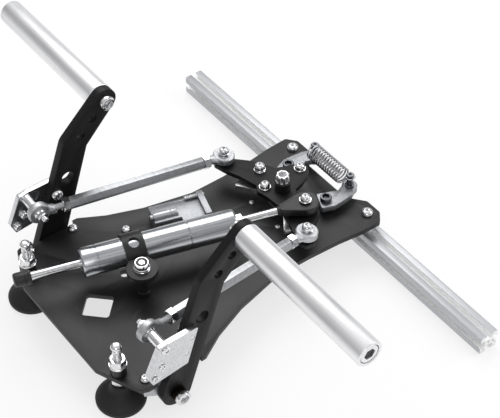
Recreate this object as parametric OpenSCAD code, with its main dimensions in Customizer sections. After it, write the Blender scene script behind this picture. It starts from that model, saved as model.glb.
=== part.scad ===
/* [Deck plate] */
// Thickness of the base plate
deck_t = 5; // [3:0.5:8]
// Half width of the plate at the arms
deck_half = 103.5; // [103.5:0.5:112]
// Half width of the plate at its waist
deck_waist = 66; // [62:0.5:72]
// Half width of the plate over the rail
deck_ear = 72; // [68:0.5:90]
// Distance from the rail's middle to the heel edge
deck_front = 305.5; // [298:0.5:320]
// Overhang of the ears past the rail's middle
ear_back = 11; // [10.8:0.1:16]
// Across the corners of the diamond window
window_w = 31; // [20:1:40]
// Distance from the rail's middle to the window's centre
window_back = 264.5; // [255:0.5:275]
// Diameter of the free hole beside the damper
free_hole_d = 8; // [5:0.5:10]

/* [Rail] */
// Length of the slotted rail
rail_len = 450; // [300:10:700]
// Side of the rail's square section
rail_w = 20; // [20:1:30]
// Mouth of the rail's slots
slot_mouth = 6; // [5.6:0.2:7]
// Width of the slots behind their lips
slot_in = 11; // [10:0.5:12]
// Thickness of the slot lips
slot_lip = 1.8; // [1.2:0.1:2.2]
// Depth of the slots from the face
slot_depth = 5.8; // [5:0.1:6.2]
// Bore through the rail's middle
rail_bore_d = 4.2; // [3.4:0.1:5]
// Height of the spacers between rail and plate
rail_gap = 11.5; // [9:0.5:20]
// Half distance between the two rail screws
ear_bolt_x = 56.5; // [46:0.5:60]

/* [Feet] */
// Diameter of a foot pad at the floor
foot_d = 45; // [30:1:46]
// Height of a foot pad
foot_h = 22; // [16:1:22]
// Half distance between the feet
foot_x = 73.5; // [60:0.5:74]
// Distance from the rail's middle to the feet
foot_back = 291; // [288:0.5:292]
// Diameter of the foot studs
stud_d = 8; // [6:0.5:10]
// How far a stud stands over the plate
stud_up = 37; // [24:0.5:40]
// Height of the black collars under the foot nuts
foot_collar_h = 10; // [4:0.5:12]

/* [Arms] */
// Inner face of an arm from the middle plane
arm_in = 100; // [99:0.5:104]
// Thickness of an arm
arm_t = 8; // [8:0.5:10]
// Distance of the arm pivot from the rail's middle
arm_back = 255; // [252:0.5:258]
// Depth of the arm pivot under the plate's top
arm_drop = 19.5; // [18:0.5:20]
// Radius of the arm's foot
arm_foot_r = 15; // [13:0.5:15.5]
// Radius of the arm at its bend
arm_bend_r = 13.2; // [12:0.1:14]
// Radius of the arm's top end
arm_top_r = 11.8; // [11.5:0.1:14]
// Forward step from the pivot to the bend
bend_y = 39.5; // [36:0.5:42]
// Rise from the pivot to the bend
bend_z = 112.5; // [108:0.5:115]
// Forward step from the bend to the footrest
top_y = 34.2; // [32:0.1:38]
// Rise from the bend to the footrest
top_z = 33.6; // [31:0.1:38]
// Distance between the footrest positions
step_pitch = 19.5; // [19:0.25:22]
// Diameter of the footrest holes
step_hole_d = 8.4; // [8.4:0.1:10]
// Diameter of the arm pivot bolts
pivot_d = 8; // [6:0.5:8]
// Diameter of the large hole beside the bracket
arm_hole_d = 13; // [8:0.5:13]

/* [Footrests] */
// Length of a footrest tube
tube_len = 154; // [100:1:180]
// Diameter of a footrest tube
tube_d = 24; // [22:0.5:28]
// Bore of a footrest tube
tube_bore_d = 18; // [14:0.5:18]
// Diameter of the bolt through arm and tube
tube_bolt_d = 8; // [6:0.5:8]

/* [Push rods] */
// Half distance between the rod ends at the brackets
foot_ball_x = 86.3; // [84:0.1:88]
// Distance from the arm pivot back to the rod end
foot_ball_y = 12; // [11:0.5:13]
// Height of the lower rod end over the arm pivot
foot_ball_z = 69; // [66:0.5:71]
// Half distance between the rod ends at the rocker
head_ball_x = 63; // [61:0.5:65]
// Distance of the upper rod ends behind the rocker pivot
head_ball_y = 21.6; // [20:0.1:23]
// Across the flats of a push rod
rod_af = 10.5; // [9:0.5:11]
// Outer diameter of a rod end's eye
eye_d = 21; // [19:0.5:22]
// Width of a rod end's eye
eye_w = 7; // [6:0.5:7]
// Diameter of a rod end's ball
ball_d = 12.7; // [12.5:0.1:13.5]
// Width over the flats of the lower balls
ball_w = 9.6; // [9:0.2:10]
// Diameter of the bolts through the rod ends
eye_bolt_d = 5; // [4:0.5:5]
// Distance from the lower eye to the hex rod
foot_neck = 29.5; // [26:0.5:32]
// Distance from the upper eye to the hex rod
head_neck = 23; // [22:0.5:26]

// Across the flats of the lock nuts
lock_af = 12; // [10:0.5:12]
// Thickness of the lock nuts
lock_h = 6.5; // [4:0.5:7]
// Diameter of the spacers at the brackets
spacer_d = 10; // [9:0.5:10]

/* [Rocker] */
// Distance of the rocker pivot from the rail's middle
rocker_back = 57.4; // [56:0.1:59]
// Underside of the rocker plate over the deck
rocker_z = 18; // [17.5:0.25:19]
// Thickness of the rocker plate
rocker_t = 4.8; // [3:0.2:5]
// Diameter of the rocker's pivot bolt
post_d = 8; // [6:0.5:8]
// Diameter of the rocker's hub
hub_d = 18; // [16:0.5:20]
// Height of the black collar on the rocker plate
collar_h = 10.5; // [6:0.5:12]
// Running clearance of the turning joints, on the radius
run_gap = 0.05; // [0.02:0.01:0.08]
// Gap on the radius at the three pivots that are left open
open_gap = 1.4; // [1.3:0.05:1.5]

/* [Centring] */
// Half distance between the lever pivots
lever_x = 28.4; // [27:0.1:30]
// Distance of the lever pivots from the rail's middle
lever_back = 27.7; // [26:0.1:29]
// Underside of the levers over the deck
lever_z = 6; // [4:0.5:6]
// Thickness of the levers
lever_t = 6; // [4:0.5:6]
// Half distance between the spring posts
hook_x = 26.3; // [26:0.1:28]
// Distance of the spring posts past the rail's middle
hook_y = 3; // [1:0.5:3]
// Height of the spring's axis over the deck
spring_z = 23.2; // [22.8:0.1:24]
// Distance of the spring's axis from its posts
spring_side = 5; // [4.5:0.5:5.5]
// Outer diameter of the spring
spring_d = 17; // [15:0.5:17]
// Wire diameter of the spring
wire_d = 1.8; // [1.2:0.1:1.8]
// Number of coils
coils = 13; // [9:2:13]

/* [Damper] */
// Sideways place of the damper's eye
damper_eye_x = 34.5; // [33:0.5:36]
// Height of the damper's axis over the deck
damper_z = 30; // [30:0.5:31]
// Angle of the damper to the middle plane
damper_turn = 16.9; // [16:0.1:18]
// Diameter of the damper body
damper_d = 27; // [24:0.5:28]
// Length of the damper body
damper_len = 145; // [138:1:148]
// Diameter of the damper rod
damper_rod_d = 8; // [7:0.5:8.5]
// Distance from the eye to the body's near end
damper_near = 68.5; // [66:0.5:72]
// Distance from the eye to the end stop's middle
damper_stop = 266; // [255:1:275]
// Distance from the eye to the clamp's middle
clamp_back = 165; // [150:1:180]
// Distance from the damper's axis to the pillar
clamp_reach = 28; // [27:0.2:34]
// Width of the clamp along the damper
clamp_w = 19; // [14:0.5:22]
// Length of the damper's front part
gland_len = 45; // [30:0.5:50]

/* [Sensor] */
// Sideways place of the sensor block
sensor_x = 38; // [36:0.5:40]
// Distance from the rail's middle to the sensor block
sensor_back = 150; // [146:1:154]
// Width of the sensor block
sensor_w = 31; // [28:0.5:33]
// Reach of the sensor block towards the damper
sensor_in = 13; // [12:0.5:14]
// Length of the sensor block without its end wall
sensor_len = 47.5; // [46:0.5:49]
// Height of the sensor block
sensor_h = 15; // [12:0.5:16]

/* [Output] */
// Piece to draw, or all

/* [Hidden] */
$fn = 48;
stand_h = deck_t + rail_gap + rail_w;
stop_len = 15.5;
stop_d = 13;
eye_shank_d = 6;
bolt_gap = 0.1;
// the footrest's place, seen from the rail's middle
bend_p = [-arm_back + bend_y, -arm_drop + bend_z];
top_p = bend_p + [top_y, top_z];
step_dir = (bend_p - top_p) / norm(bend_p - top_p);
// rod ends
foot_ball = [foot_ball_x, -arm_back - foot_ball_y, -arm_drop + foot_ball_z];
rocker_top = rocker_z + rocker_t;
head_ball = [head_ball_x, -rocker_back - head_ball_y, rocker_top + 6];
head_ball_w = 7.6;
head_boss_h = 0.3;
rod_vec = head_ball - foot_ball;
rod_u = rod_vec / norm(rod_vec);
// damper line
damper_eye = [damper_eye_x, -rocker_back - 0.6];
damper_u = [sin(damper_turn), cos(damper_turn)];
damper_n = [cos(damper_turn), -sin(damper_turn)];
stop_end = damper_eye - damper_u * (damper_stop + stop_len / 2);
pillar_p = damper_eye - damper_u * clamp_back + damper_n * clamp_reach;
// extent from the heel end to the rail end, used to centre the object
y_low = min(stop_end[1] - stop_d / 2 * damper_u[0], -deck_front, -foot_back - foot_d / 2);
y_high = ear_back;
mid_y = -(y_low + y_high) / 2;
// screw places on the deck
block_x = arm_in - 6.5;
block_screw_y = [-arm_back + 23.8, -arm_back - 22.4];
waist_x = 20;
waist_y = -78.5;
sensor_screws = [[-sensor_x - 12, -sensor_back - 16], [-sensor_x + 8, -sensor_back + 17]];
spare_screws = [[-62.5, -192.6]];
bush_d = pivot_d + 4;
bush_lip = 0.5;
bush_boss = 6;
block_in = arm_in - 14;
bracket_t = 5;
spring_r = (spring_d - wire_d) / 2;
post_r = 3;
hook_r = post_r + wire_d / 2 + 0.3;
coil_half = hook_x - hook_r - 0.3;

function unit(v) = v / norm(v);

// deck space: x sideways, y from the rail's middle, z from the deck's top
module deck_space() translate([0, mid_y, stand_h]) children();

module on_side(s) deck_space() mirror([s < 0 ? 1 : 0, 0, 0]) children();

// local x along u, local z near w
module aim(p, u, w) {
    z = unit(w - (w * u) * u);
    y = cross(z, u);
    multmatrix([[u[0], y[0], z[0], p[0]], [u[1], y[1], z[1], p[1]], [u[2], y[2], z[2], p[2]], [0, 0, 0, 1]])
        children();
}

// a solid of revolution along x, from x0, at height z and depth y
module bar_x_at(x0, len, d, y, z) translate([x0, y, z]) rotate([0, 90, 0]) cylinder(d = d, h = len);

// a profile drawn in depth and height, given thickness along x
module side_plate(x0, t) translate([x0, 0, 0]) rotate([90, 0, 90]) linear_extrude(t) children();

module rounded(r) offset(r = r) offset(delta = -r) children();

// cap screw standing on z = 0, shank downwards
module cap_screw(head_d, head_h, d, len) {
    difference() {
        union() {
            cylinder(d = head_d, h = head_h - 0.6);
            translate([0, 0, head_h - 0.6]) cylinder(d1 = head_d, d2 = head_d - 1.2, h = 0.6);
            translate([0, 0, -len]) cylinder(d = d, h = len + 0.1);
        }
        translate([0, 0, head_h * 0.45]) cylinder(d = head_d * 0.55, h = head_h, $fn = 6);
    }
}

// domed screw standing on z = 0, shank downwards
module dome_screw(head_d, head_h, d, len) {
    difference() {
        union() {
            cylinder(d = head_d, h = head_h * 0.35);
            translate([0, 0, head_h * 0.35]) cylinder(d1 = head_d, d2 = head_d * 0.55, h = head_h * 0.65);
            translate([0, 0, -len]) cylinder(d = d, h = len + 0.1);
        }
        translate([0, 0, head_h * 0.5]) cylinder(d = head_d * 0.36, h = head_h, $fn = 6);
    }
}

module hex_nut(af, h, d) difference() {
    cylinder(d = af / cos(30), h = h, $fn = 6);
    translate([0, 0, -1]) cylinder(d = d, h = h + 2);
}

// half of the plate's outline, heel end first
function half_deck() = [
    [window_w * 1.9, -deck_front], [deck_half - 24, -deck_front + 8.5], [deck_half - 2.5, -deck_front + 18.5],
    [deck_half, -deck_front + 25], [deck_half, -deck_front + 84.5], [90, -197], [77, -163],
    [deck_waist, -115], [deck_waist, -78], [deck_ear - 4, -44], [deck_ear - 1, -20],
    [deck_ear, ear_back - 8], [deck_ear - 10, ear_back], [44, ear_back], [27, -2.5]
];

module deck_outline() rounded(4) polygon(concat(
    half_deck(), [for (i = [len(half_deck()) - 1:-1:0]) [-half_deck()[i][0], half_deck()[i][1]]]));

module base_plate() color([0.07, 0.07, 0.08]) deck_space() translate([0, 0, -deck_t])
    linear_extrude(deck_t) difference() {
        deck_outline();
        for (s = [-1, 1]) translate([s * (arm_in + arm_t / 2 - 0.8), -arm_back + 6.5])
            square([arm_t, 45], center = true);
        translate([0, -window_back]) rotate(45) rounded(3) square(window_w * 0.8, center = true);
        translate([-17.8, -224.2]) circle(d = free_hole_d);
        for (s = [-1, 1]) {
            translate([s * ear_bolt_x, 0]) circle(d = 6 + 2 * bolt_gap);
            translate([s * foot_x, -foot_back]) circle(d = stud_d + 2 * bolt_gap);
            for (y = block_screw_y) translate([s * block_x, y]) circle(d = 5 + 2 * bolt_gap);
            translate([s * lever_x, -lever_back]) circle(d = 6 + 2 * bolt_gap);
            translate([s * waist_x, waist_y]) circle(d = 3 + 2 * bolt_gap);
        }
        translate([0, -rocker_back]) circle(d = post_d + 2 * bolt_gap);
        translate(pillar_p) circle(d = 6 + 2 * bolt_gap);
        for (p = sensor_screws) translate(p) circle(d = 4 + 2 * bolt_gap);
        for (p = spare_screws) translate(p) circle(d = 4 + 2 * bolt_gap);
    }

module slot_cut() {
    translate([rail_w / 2 - slot_depth, -slot_in / 2])
        polygon([[0, 2], [2, 0], [slot_depth - slot_lip, 0], [slot_depth - slot_lip, slot_in], [2, slot_in],
                 [0, slot_in - 2]]);
    translate([rail_w / 2 - slot_lip - 0.1, -slot_mouth / 2]) square([slot_lip + 1, slot_mouth]);
}

module rail() color([0.75, 0.76, 0.78]) deck_space()
    translate([-rail_len / 2, 0, -deck_t - rail_gap - rail_w / 2]) rotate([90, 0, 90])
        linear_extrude(rail_len) difference() {
            rounded(1.5) square(rail_w, center = true);
            for (a = [0:90:270]) rotate(a) slot_cut();
            circle(d = rail_bore_d);
        }

module rail_spacers() color([0.7, 0.7, 0.72]) for (s = [-1, 1]) on_side(s)
    translate([ear_bolt_x, 0, -deck_t - rail_gap]) difference() {
        cylinder(d = 14, h = rail_gap);
        translate([0, 0, -1]) cylinder(d = 6 + 2 * bolt_gap, h = rail_gap + 2);
    }

module rail_screws() color([0.8, 0.8, 0.82]) for (s = [-1, 1]) on_side(s)
    translate([ear_bolt_x, 0, 0]) dome_screw(11.5, 5, 6, deck_t + rail_gap + slot_lip + 3);

module slot_nuts() color([0.7, 0.7, 0.72]) for (s = [-1, 1]) on_side(s)
    translate([ear_bolt_x, 0, -deck_t - rail_gap - slot_lip - 3.4]) difference() {
        union() {
            translate([-7, -slot_in / 2 + 2, 0]) cube([14, slot_in - 4, 3.4]);
            translate([-7, -slot_mouth / 2 + 0.2, 3.3]) cube([14, slot_mouth - 0.4, slot_lip - 0.1]);
        }
        translate([0, 0, -1]) cylinder(d = 6 + 2 * bolt_gap, h = 9);
    }

module foot_pads() color([0.06, 0.06, 0.06]) for (s = [-1, 1]) on_side(s)
    translate([foot_x, -foot_back, -stand_h]) rotate_extrude() polygon([
        [0, 0], [foot_d / 2 - 1, 0], [foot_d / 2, 1.5], [foot_d / 2, 4.5], [foot_d / 2 - 3, 8],
        [foot_d / 2 - 8, 12], [foot_d / 2 - 12.5, 15], [7.5, foot_h], [stud_d / 2 + bolt_gap, foot_h],
        [stud_d / 2 + bolt_gap, 6], [0, 6]]);

module foot_studs() color([0.75, 0.75, 0.77]) for (s = [-1, 1]) on_side(s)
    translate([foot_x, -foot_back, -stand_h + 6]) {
        cylinder(d = stud_d, h = stand_h - 6 + stud_up - 1);
        translate([0, 0, stand_h - 6 + stud_up - 1.1]) cylinder(d1 = stud_d, d2 = stud_d - 2, h = 1.1);
    }

module foot_nuts() color([0.78, 0.78, 0.8]) for (s = [-1, 1]) on_side(s)
    translate([foot_x, -foot_back, 0]) {
        difference() {
            cylinder(d = 14, h = foot_collar_h);
            translate([0, 0, -1]) cylinder(d = stud_d + 2 * bolt_gap, h = foot_collar_h + 2);
        }
        translate([0, 0, foot_collar_h]) {
            difference() {
                cylinder(d = 16, h = 1.5);
                translate([0, 0, -1]) cylinder(d = stud_d + 2 * bolt_gap, h = 4);
            }
            translate([0, 0, 1.5]) hex_nut(13, 7, stud_d + 2 * bolt_gap);
        }
        translate([0, 0, -deck_t - 6.5]) hex_nut(13, 6.5, stud_d + 2 * bolt_gap);
    }

module pivot_blocks() color([0.78, 0.79, 0.8]) for (s = [-1, 1]) on_side(s) difference() {
    side_plate(block_in, arm_in - bush_lip - block_in) difference() {
        translate([-arm_back, -arm_drop]) polygon([
            [30, arm_drop - deck_t], [-28, arm_drop - deck_t], [-28, 6], [-14.4, -3.1],
            [-9, -11], [9, -11], [26, 0]]);
        translate([-arm_back, -arm_drop]) circle(d = pivot_d + 2 * bolt_gap);
    }
    for (y = block_screw_y) translate([block_x, y, -deck_t - 7]) cylinder(d = 5 + 2 * bolt_gap, h = 8);
}

module block_screws() color([0.8, 0.8, 0.82]) for (s = [-1, 1]) on_side(s)
    for (y = block_screw_y) translate([block_x, y, 0]) dome_screw(9.5, 4, 5, deck_t + 6);

module arm_bolts() color([0.8, 0.8, 0.82]) for (s = [-1, 1]) on_side(s)
    translate([arm_in + arm_t + bush_boss, -arm_back, -arm_drop]) rotate([0, 90, 0])
        cap_screw(14, 5, pivot_d, arm_t + bush_lip + bush_boss + 12);

module pivot_bolt() color([0.85, 0.85, 0.87]) deck_space() {
    translate([0, -rocker_back, rocker_top + collar_h])
        cap_screw(13, 8, post_d, rocker_top + collar_h + deck_t + 6.4);
    translate([0, -rocker_back, 0]) difference() {
        cylinder(d = 14, h = 5);
        translate([0, 0, -1]) cylinder(d = post_d + 2 * bolt_gap, h = 7);
    }
}

module pivot_nut() color([0.78, 0.78, 0.8]) deck_space()
    translate([0, -rocker_back, -deck_t - 6.5]) hex_nut(13, 6.5, post_d + 2 * bolt_gap);

module lever_bolts() color([0.1, 0.1, 0.11]) for (s = [-1, 1]) on_side(s) {
    translate([lever_x, -lever_back, lever_z + lever_t])
        cap_screw(11, 5.5, 6, lever_z + lever_t + deck_t + 4);
    translate([lever_x, -lever_back, 0]) difference() {
        cylinder(d = 11, h = lever_z);
        translate([0, 0, -1]) cylinder(d = 6 + 2 * bolt_gap, h = lever_z + 2);
    }
}

module waist_screws() color([0.8, 0.8, 0.82]) for (s = [-1, 1]) on_side(s)
    translate([waist_x, waist_y, 0]) dome_screw(5.4, 2.8, 3, deck_t + 2);

// the cam under the rocker, its near edges running to the pivot
cam_near = [38.2, -27.8];
cam_end = [42.6, -14.6];
cam_h = 5;
module rocker_cam() color([0.8, 0.81, 0.82]) deck_space()
    translate([0, -rocker_back, rocker_z - 3.8 - cam_h]) linear_extrude(cam_h) difference() {
        rounded(1.5) union() {
            circle(r = hub_d / 2 + 5);
            for (s = [-1, 1])
                polygon([[0, 0], [s * cam_near[0], cam_near[1]], [s * cam_end[0], cam_end[1]], [s * 11, 2]]);
        }
        circle(d = hub_d + 0.02);
    }

module damper_pillar() color([0.12, 0.12, 0.13]) deck_space() translate([pillar_p[0], pillar_p[1], 0]) {
    cylinder(d = 11.5, h = damper_z - 1);
    translate([0, 0, -deck_t - 3]) cylinder(d = 6, h = damper_z + deck_t + 15);
}

module pillar_nut() color([0.8, 0.8, 0.82]) deck_space() translate([pillar_p[0], pillar_p[1], damper_z + 4])
    difference() {
        union() {
            cylinder(d = 15, h = 1.2);
            translate([0, 0, 1.2]) cylinder(d = 14.4, h = 6);
            translate([0, 0, 7.1]) cylinder(d1 = 14.4, d2 = 12.8, h = 0.8);
        }
        translate([0, 0, -1]) cylinder(d = 6 + 2 * bolt_gap, h = 12);
        translate([0, 0, 6.6]) cylinder(d = 10.4, h = 3);
    }

// sensor space: y along the damper, x away from it
module sensor_space() deck_space() translate([-sensor_x, -sensor_back, 0]) rotate(-damper_turn) children();

sensor_near = -sensor_len / 2 + 0.2;
module sensor_base() color([0.72, 0.73, 0.75]) difference() {
    sensor_space() difference() {
        translate([sensor_in - sensor_w, sensor_near, 0]) {
            linear_extrude(sensor_h) rounded(1) square([sensor_w, sensor_len]);
            translate([0, sensor_len - 0.6, 0]) cube([sensor_w, 5.6, sensor_h + 5]);
        }
        translate([sensor_in - 8.5, sensor_near - 1, 4]) cube([5, 26.5, sensor_h]);
        translate([-3, sensor_near - 1, sensor_h + 0.5]) rotate([-90, 0, 0])
            cylinder(d = 8 + 2 * bolt_gap, h = 24.5);
        translate([sensor_in - sensor_w + 2.5, 0, sensor_h + 2]) rotate([-90, 0, 0])
            cylinder(d = 4 + 2 * bolt_gap, h = sensor_len);
    }
    for (p = sensor_screws) deck_space() translate([p[0], p[1], -1]) cylinder(d = 4 + 2 * bolt_gap, h = 9);
}

module sensor_body() color([0.8, 0.8, 0.82]) sensor_space() translate([-3, sensor_near, sensor_h + 0.5])
    rotate([-90, 0, 0]) {
        cylinder(d = 8, h = 23.5);
        translate([0, 0, -3]) cylinder(d = 5.5, h = 3.1);
    }

module sensor_stud() color([0.78, 0.78, 0.8]) sensor_space()
    translate([sensor_in - sensor_w + 2.5, 11, sensor_h + 2]) rotate([-90, 0, 0]) cylinder(d = 4, h = 19.5);

module deck_screws() color([0.8, 0.8, 0.82]) deck_space() {
    for (p = sensor_screws) translate([p[0], p[1], -deck_t]) mirror([0, 0, 1])
        dome_screw(7, 2.4, 4, deck_t + 6);
    for (p = spare_screws) translate([p[0], p[1], 0]) dome_screw(9, 3.4, 4, deck_t + 3);
}

module arm_shape() {
    hull() {
        translate([-arm_back, -arm_drop]) circle(r = arm_foot_r);
        translate(bend_p) circle(r = arm_bend_r);
    }
    hull() {
        translate(bend_p) circle(r = arm_bend_r);
        translate(top_p) circle(r = arm_top_r);
    }
}

// bracket screw places from the arm pivot: two through the arm, two behind it
arm_screws = [[15, 65.3], [8.4, 50]];
free_screws = [[-16.5, 50.9], [-24.3, 40.7]];

module arm_part() side_plate(arm_in, arm_t) difference() {
    arm_shape();
    translate([-arm_back, -arm_drop]) {
        circle(d = bush_d);
        for (p = arm_screws) translate(p) circle(d = 4 + 2 * bolt_gap);
        translate([28.3, 78]) circle(d = arm_hole_d);
    }
    for (i = [0:2]) translate(top_p + step_dir * step_pitch * i) circle(d = step_hole_d);
}
module arm_right() color([0.07, 0.07, 0.08]) on_side(1) arm_part();
module arm_left() color([0.07, 0.07, 0.08]) on_side(-1) arm_part();

module arm_bushes() translate([0, -arm_back, -arm_drop]) rotate([0, 90, 0]) difference() {
    union() {
        translate([0, 0, arm_in]) cylinder(d = bush_d - 0.02, h = arm_t);
        translate([0, 0, arm_in - bush_lip]) cylinder(d = bush_d + 4, h = bush_lip);
        translate([0, 0, arm_in + arm_t]) cylinder(d = bush_d + 2, h = bush_boss);
    }
    translate([0, 0, arm_in - 2]) cylinder(d = pivot_d + 2 * run_gap, h = arm_t + bush_boss + 4);
}
module arm_bushes_right() color([0.6, 0.5, 0.3]) on_side(1) arm_bushes();
module arm_bushes_left() color([0.6, 0.5, 0.3]) on_side(-1) arm_bushes();

module tube() translate([arm_in + arm_t, top_p[0], top_p[1]]) rotate([0, 90, 0]) difference() {
    cylinder(d = tube_d, h = tube_len);
    translate([0, 0, 22]) cylinder(d = tube_bore_d, h = tube_len);
    translate([0, 0, -1]) cylinder(d = tube_bolt_d + 2 * bolt_gap, h = 30);
}
module tube_right() color([0.75, 0.76, 0.78]) on_side(1) tube();
module tube_left() color([0.75, 0.76, 0.78]) on_side(-1) tube();

module tube_bolt() translate([arm_in, top_p[0], top_p[1]]) rotate([0, -90, 0])
    cap_screw(14, 6, tube_bolt_d, arm_t + 18);
module tube_bolt_right() color([0.8, 0.8, 0.82]) on_side(1) tube_bolt();
module tube_bolt_left() color([0.8, 0.8, 0.82]) on_side(-1) tube_bolt();

module tube_plug() translate([arm_in + arm_t + tube_len, top_p[0], top_p[1]]) rotate([0, 90, 0])
    difference() {
        union() {
            translate([0, 0, -12]) cylinder(d = tube_bore_d - 0.02, h = 11);
            translate([0, 0, -2]) cylinder(d = 15, h = 1.6);
        }
        translate([0, 0, -8]) cylinder(d = 8, h = 9, $fn = 6);
    }
module tube_plug_right() color([0.65, 0.66, 0.68]) on_side(1) tube_plug();
module tube_plug_left() color([0.65, 0.66, 0.68]) on_side(-1) tube_plug();

module bracket() side_plate(arm_in + arm_t, bracket_t) translate([-arm_back, -arm_drop]) difference() {
    rounded(1.5) polygon([[20.8, 75.5], [8.8, 37.5], [-26.6, 34], [-31.3, 45.5], [-18.5, 74], [-9, 75.5]]);
    for (p = concat(arm_screws, free_screws)) translate(p) circle(d = 4 + 2 * bolt_gap);
    translate([-foot_ball_y, foot_ball_z]) circle(d = eye_bolt_d + 2 * bolt_gap);
}
module bracket_right() color([0.82, 0.83, 0.84]) on_side(1) bracket();
module bracket_left() color([0.82, 0.83, 0.84]) on_side(-1) bracket();

module bracket_screws() translate([arm_in, -arm_back, -arm_drop]) {
    for (p = arm_screws) translate([0, p[0], p[1]]) rotate([0, -90, 0])
        dome_screw(11, 4.5, 4, arm_t + bracket_t - 0.4);
    for (p = free_screws) translate([arm_t, p[0], p[1]]) rotate([0, -90, 0]) {
        dome_screw(7.5, 3, 4, bracket_t + 0.3);
        translate([0, 0, -bracket_t - 1.2]) cylinder(d = 6.4, h = 1.2);
    }
}
module bracket_screws_right() color([0.8, 0.8, 0.82]) on_side(1) bracket_screws();
module bracket_screws_left() color([0.8, 0.8, 0.82]) on_side(-1) bracket_screws();

module rod_spacer() difference() {
    bar_x_at(foot_ball_x + ball_w / 2, arm_in + arm_t - foot_ball_x - ball_w / 2, spacer_d,
        foot_ball[1], foot_ball[2]);
    bar_x_at(foot_ball_x, 40, eye_bolt_d + 2 * bolt_gap, foot_ball[1], foot_ball[2]);
}
module rod_spacer_right() color([0.8, 0.8, 0.82]) on_side(1) rod_spacer();
module rod_spacer_left() color([0.8, 0.8, 0.82]) on_side(-1) rod_spacer();

module rod_bolt() translate([0, foot_ball[1], foot_ball[2]]) {
    translate([arm_in + arm_t + bracket_t, 0, 0]) rotate([0, 90, 0])
        dome_screw(9, 1.8, eye_bolt_d, arm_in + arm_t + bracket_t - foot_ball_x + ball_w / 2 + 8.5);
    translate([foot_ball_x - ball_w / 2, 0, 0]) rotate([0, -90, 0]) hex_nut(8, 4, eye_bolt_d + 2 * bolt_gap);
}
module rod_bolt_right() color([0.8, 0.8, 0.82]) on_side(1) rod_bolt();
module rod_bolt_left() color([0.8, 0.8, 0.82]) on_side(-1) rod_bolt();

// ball with flats, axis along z
module ball(w, bore) rotate_extrude() difference() {
    intersection() {
        circle(d = ball_d);
        translate([0, -w / 2]) square([ball_d, w]);
    }
    translate([-1, -w]) square([1 + bore / 2, 2 * w]);
}
module ball_right() color([0.85, 0.85, 0.87]) on_side(1)
    translate(foot_ball) rotate([0, 90, 0]) ball(ball_w, eye_bolt_d + 2 * bolt_gap);
module ball_left() color([0.85, 0.85, 0.87]) on_side(-1)
    translate(foot_ball) rotate([0, 90, 0]) ball(ball_w, eye_bolt_d + 2 * bolt_gap);

rod_len = norm(rod_vec);
shank_in = 14;

module hex_bar() aim(foot_ball, rod_u, [0, 0, 1]) rotate([0, 90, 0]) difference() {
    translate([0, 0, foot_neck]) cylinder(d = rod_af / cos(30), h = rod_len - foot_neck - head_neck, $fn = 6);
    translate([0, 0, foot_neck - 1]) cylinder(d = 6 + 2 * bolt_gap, h = shank_in + 2);
    translate([0, 0, rod_len - head_neck - shank_in - 1]) cylinder(d = 6 + 2 * bolt_gap, h = shank_in + 2);
}
module push_rod_right() color([0.2, 0.2, 0.21]) on_side(1) hex_bar();
module push_rod_left() color([0.2, 0.2, 0.21]) on_side(-1) hex_bar();

// rod end with its eye's axis along z and its shank along x
module rod_end(neck) {
    rotate_extrude() polygon(concat(
        [[eye_d / 2, -eye_w / 2], [eye_d / 2, eye_w / 2]],
        [for (a = [33:-6:-33]) [(ball_d / 2 + run_gap) * cos(a), (ball_d / 2 + run_gap) * sin(a)]]));
    translate([eye_d / 2 - 0.8, 0, 0]) rotate([0, 90, 0]) {
        cylinder(d = 6, h = neck + shank_in - eye_d / 2);
        cylinder(d1 = 10, d2 = 8, h = 5.5);
    }
}
module rod_ends() {
    aim(foot_ball, rod_u, [1, 0, 0]) rod_end(foot_neck);
    aim(head_ball, -rod_u, [0, 0, 1]) rod_end(head_neck);
    aim(head_ball, -rod_u, [0, 0, 1]) ball(head_ball_w, eye_bolt_d + 2 * open_gap);
}
module rod_ends_right() color([0.8, 0.8, 0.82]) on_side(1) rod_ends();
module rod_ends_left() color([0.8, 0.8, 0.82]) on_side(-1) rod_ends();

module lock_nut(neck) translate([neck - lock_h - 0.1, 0, 0]) rotate([0, 90, 0])
    hex_nut(lock_af, lock_h, 6 + 2 * bolt_gap);
module rod_nuts() {
    aim(foot_ball, rod_u, [0, 0, 1]) lock_nut(foot_neck);
    aim(head_ball, -rod_u, [0, 0, 1]) lock_nut(head_neck);
}
module rod_nuts_right() color([0.8, 0.8, 0.82]) on_side(1) rod_nuts();
module rod_nuts_left() color([0.8, 0.8, 0.82]) on_side(-1) rod_nuts();

// screws on the rocker plate, from its pivot
plate_screws = head_ball_x / 63 * [[-32.7, -1.6], [-11.5, -11.8], [-11.4, 29.9]];

module rocker_plate() color([0.08, 0.08, 0.09]) deck_space()
    translate([0, -rocker_back, rocker_z]) linear_extrude(rocker_t) difference() {
        rounded(2) polygon(head_ball_x / 63 * [
            [-59.3, -11.1], [-48.3, -0.5], [-26.2, 12.1], [-22.9, 19.9], [-20.2, 27.4], [-13.4, 37.5],
            [-9.1, 38.1], [-5.7, 36.1], [0.7, 28.9], [5.4, 19.6], [8, 10], [13, 7], [34.5, 13], [46, 8],
            [59.3, -11.1],
            [68, -13.5], [72.5, -20], [71.5, -28], [65, -31], [49.5, -27], [37.9, -22], [18.2, -16.7],
            [1.3, -18], [-5.8, -19.3], [-11.2, -21.3], [-18.2, -16.7], [-37.9, -22], [-49.5, -27],
            [-65, -31], [-71.5, -28], [-72.5, -20], [-68, -13.5]]);
        circle(d = post_d + 2 * run_gap);
        for (s = [-1, 1]) translate([s * head_ball_x, -head_ball_y]) circle(d = eye_bolt_d + 2 * bolt_gap);
        translate([damper_eye[0], damper_eye[1] + rocker_back]) circle(d = 5 + 2 * bolt_gap);
        for (p = plate_screws) translate(p) circle(d = 5 + 2 * bolt_gap);
    }

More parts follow.
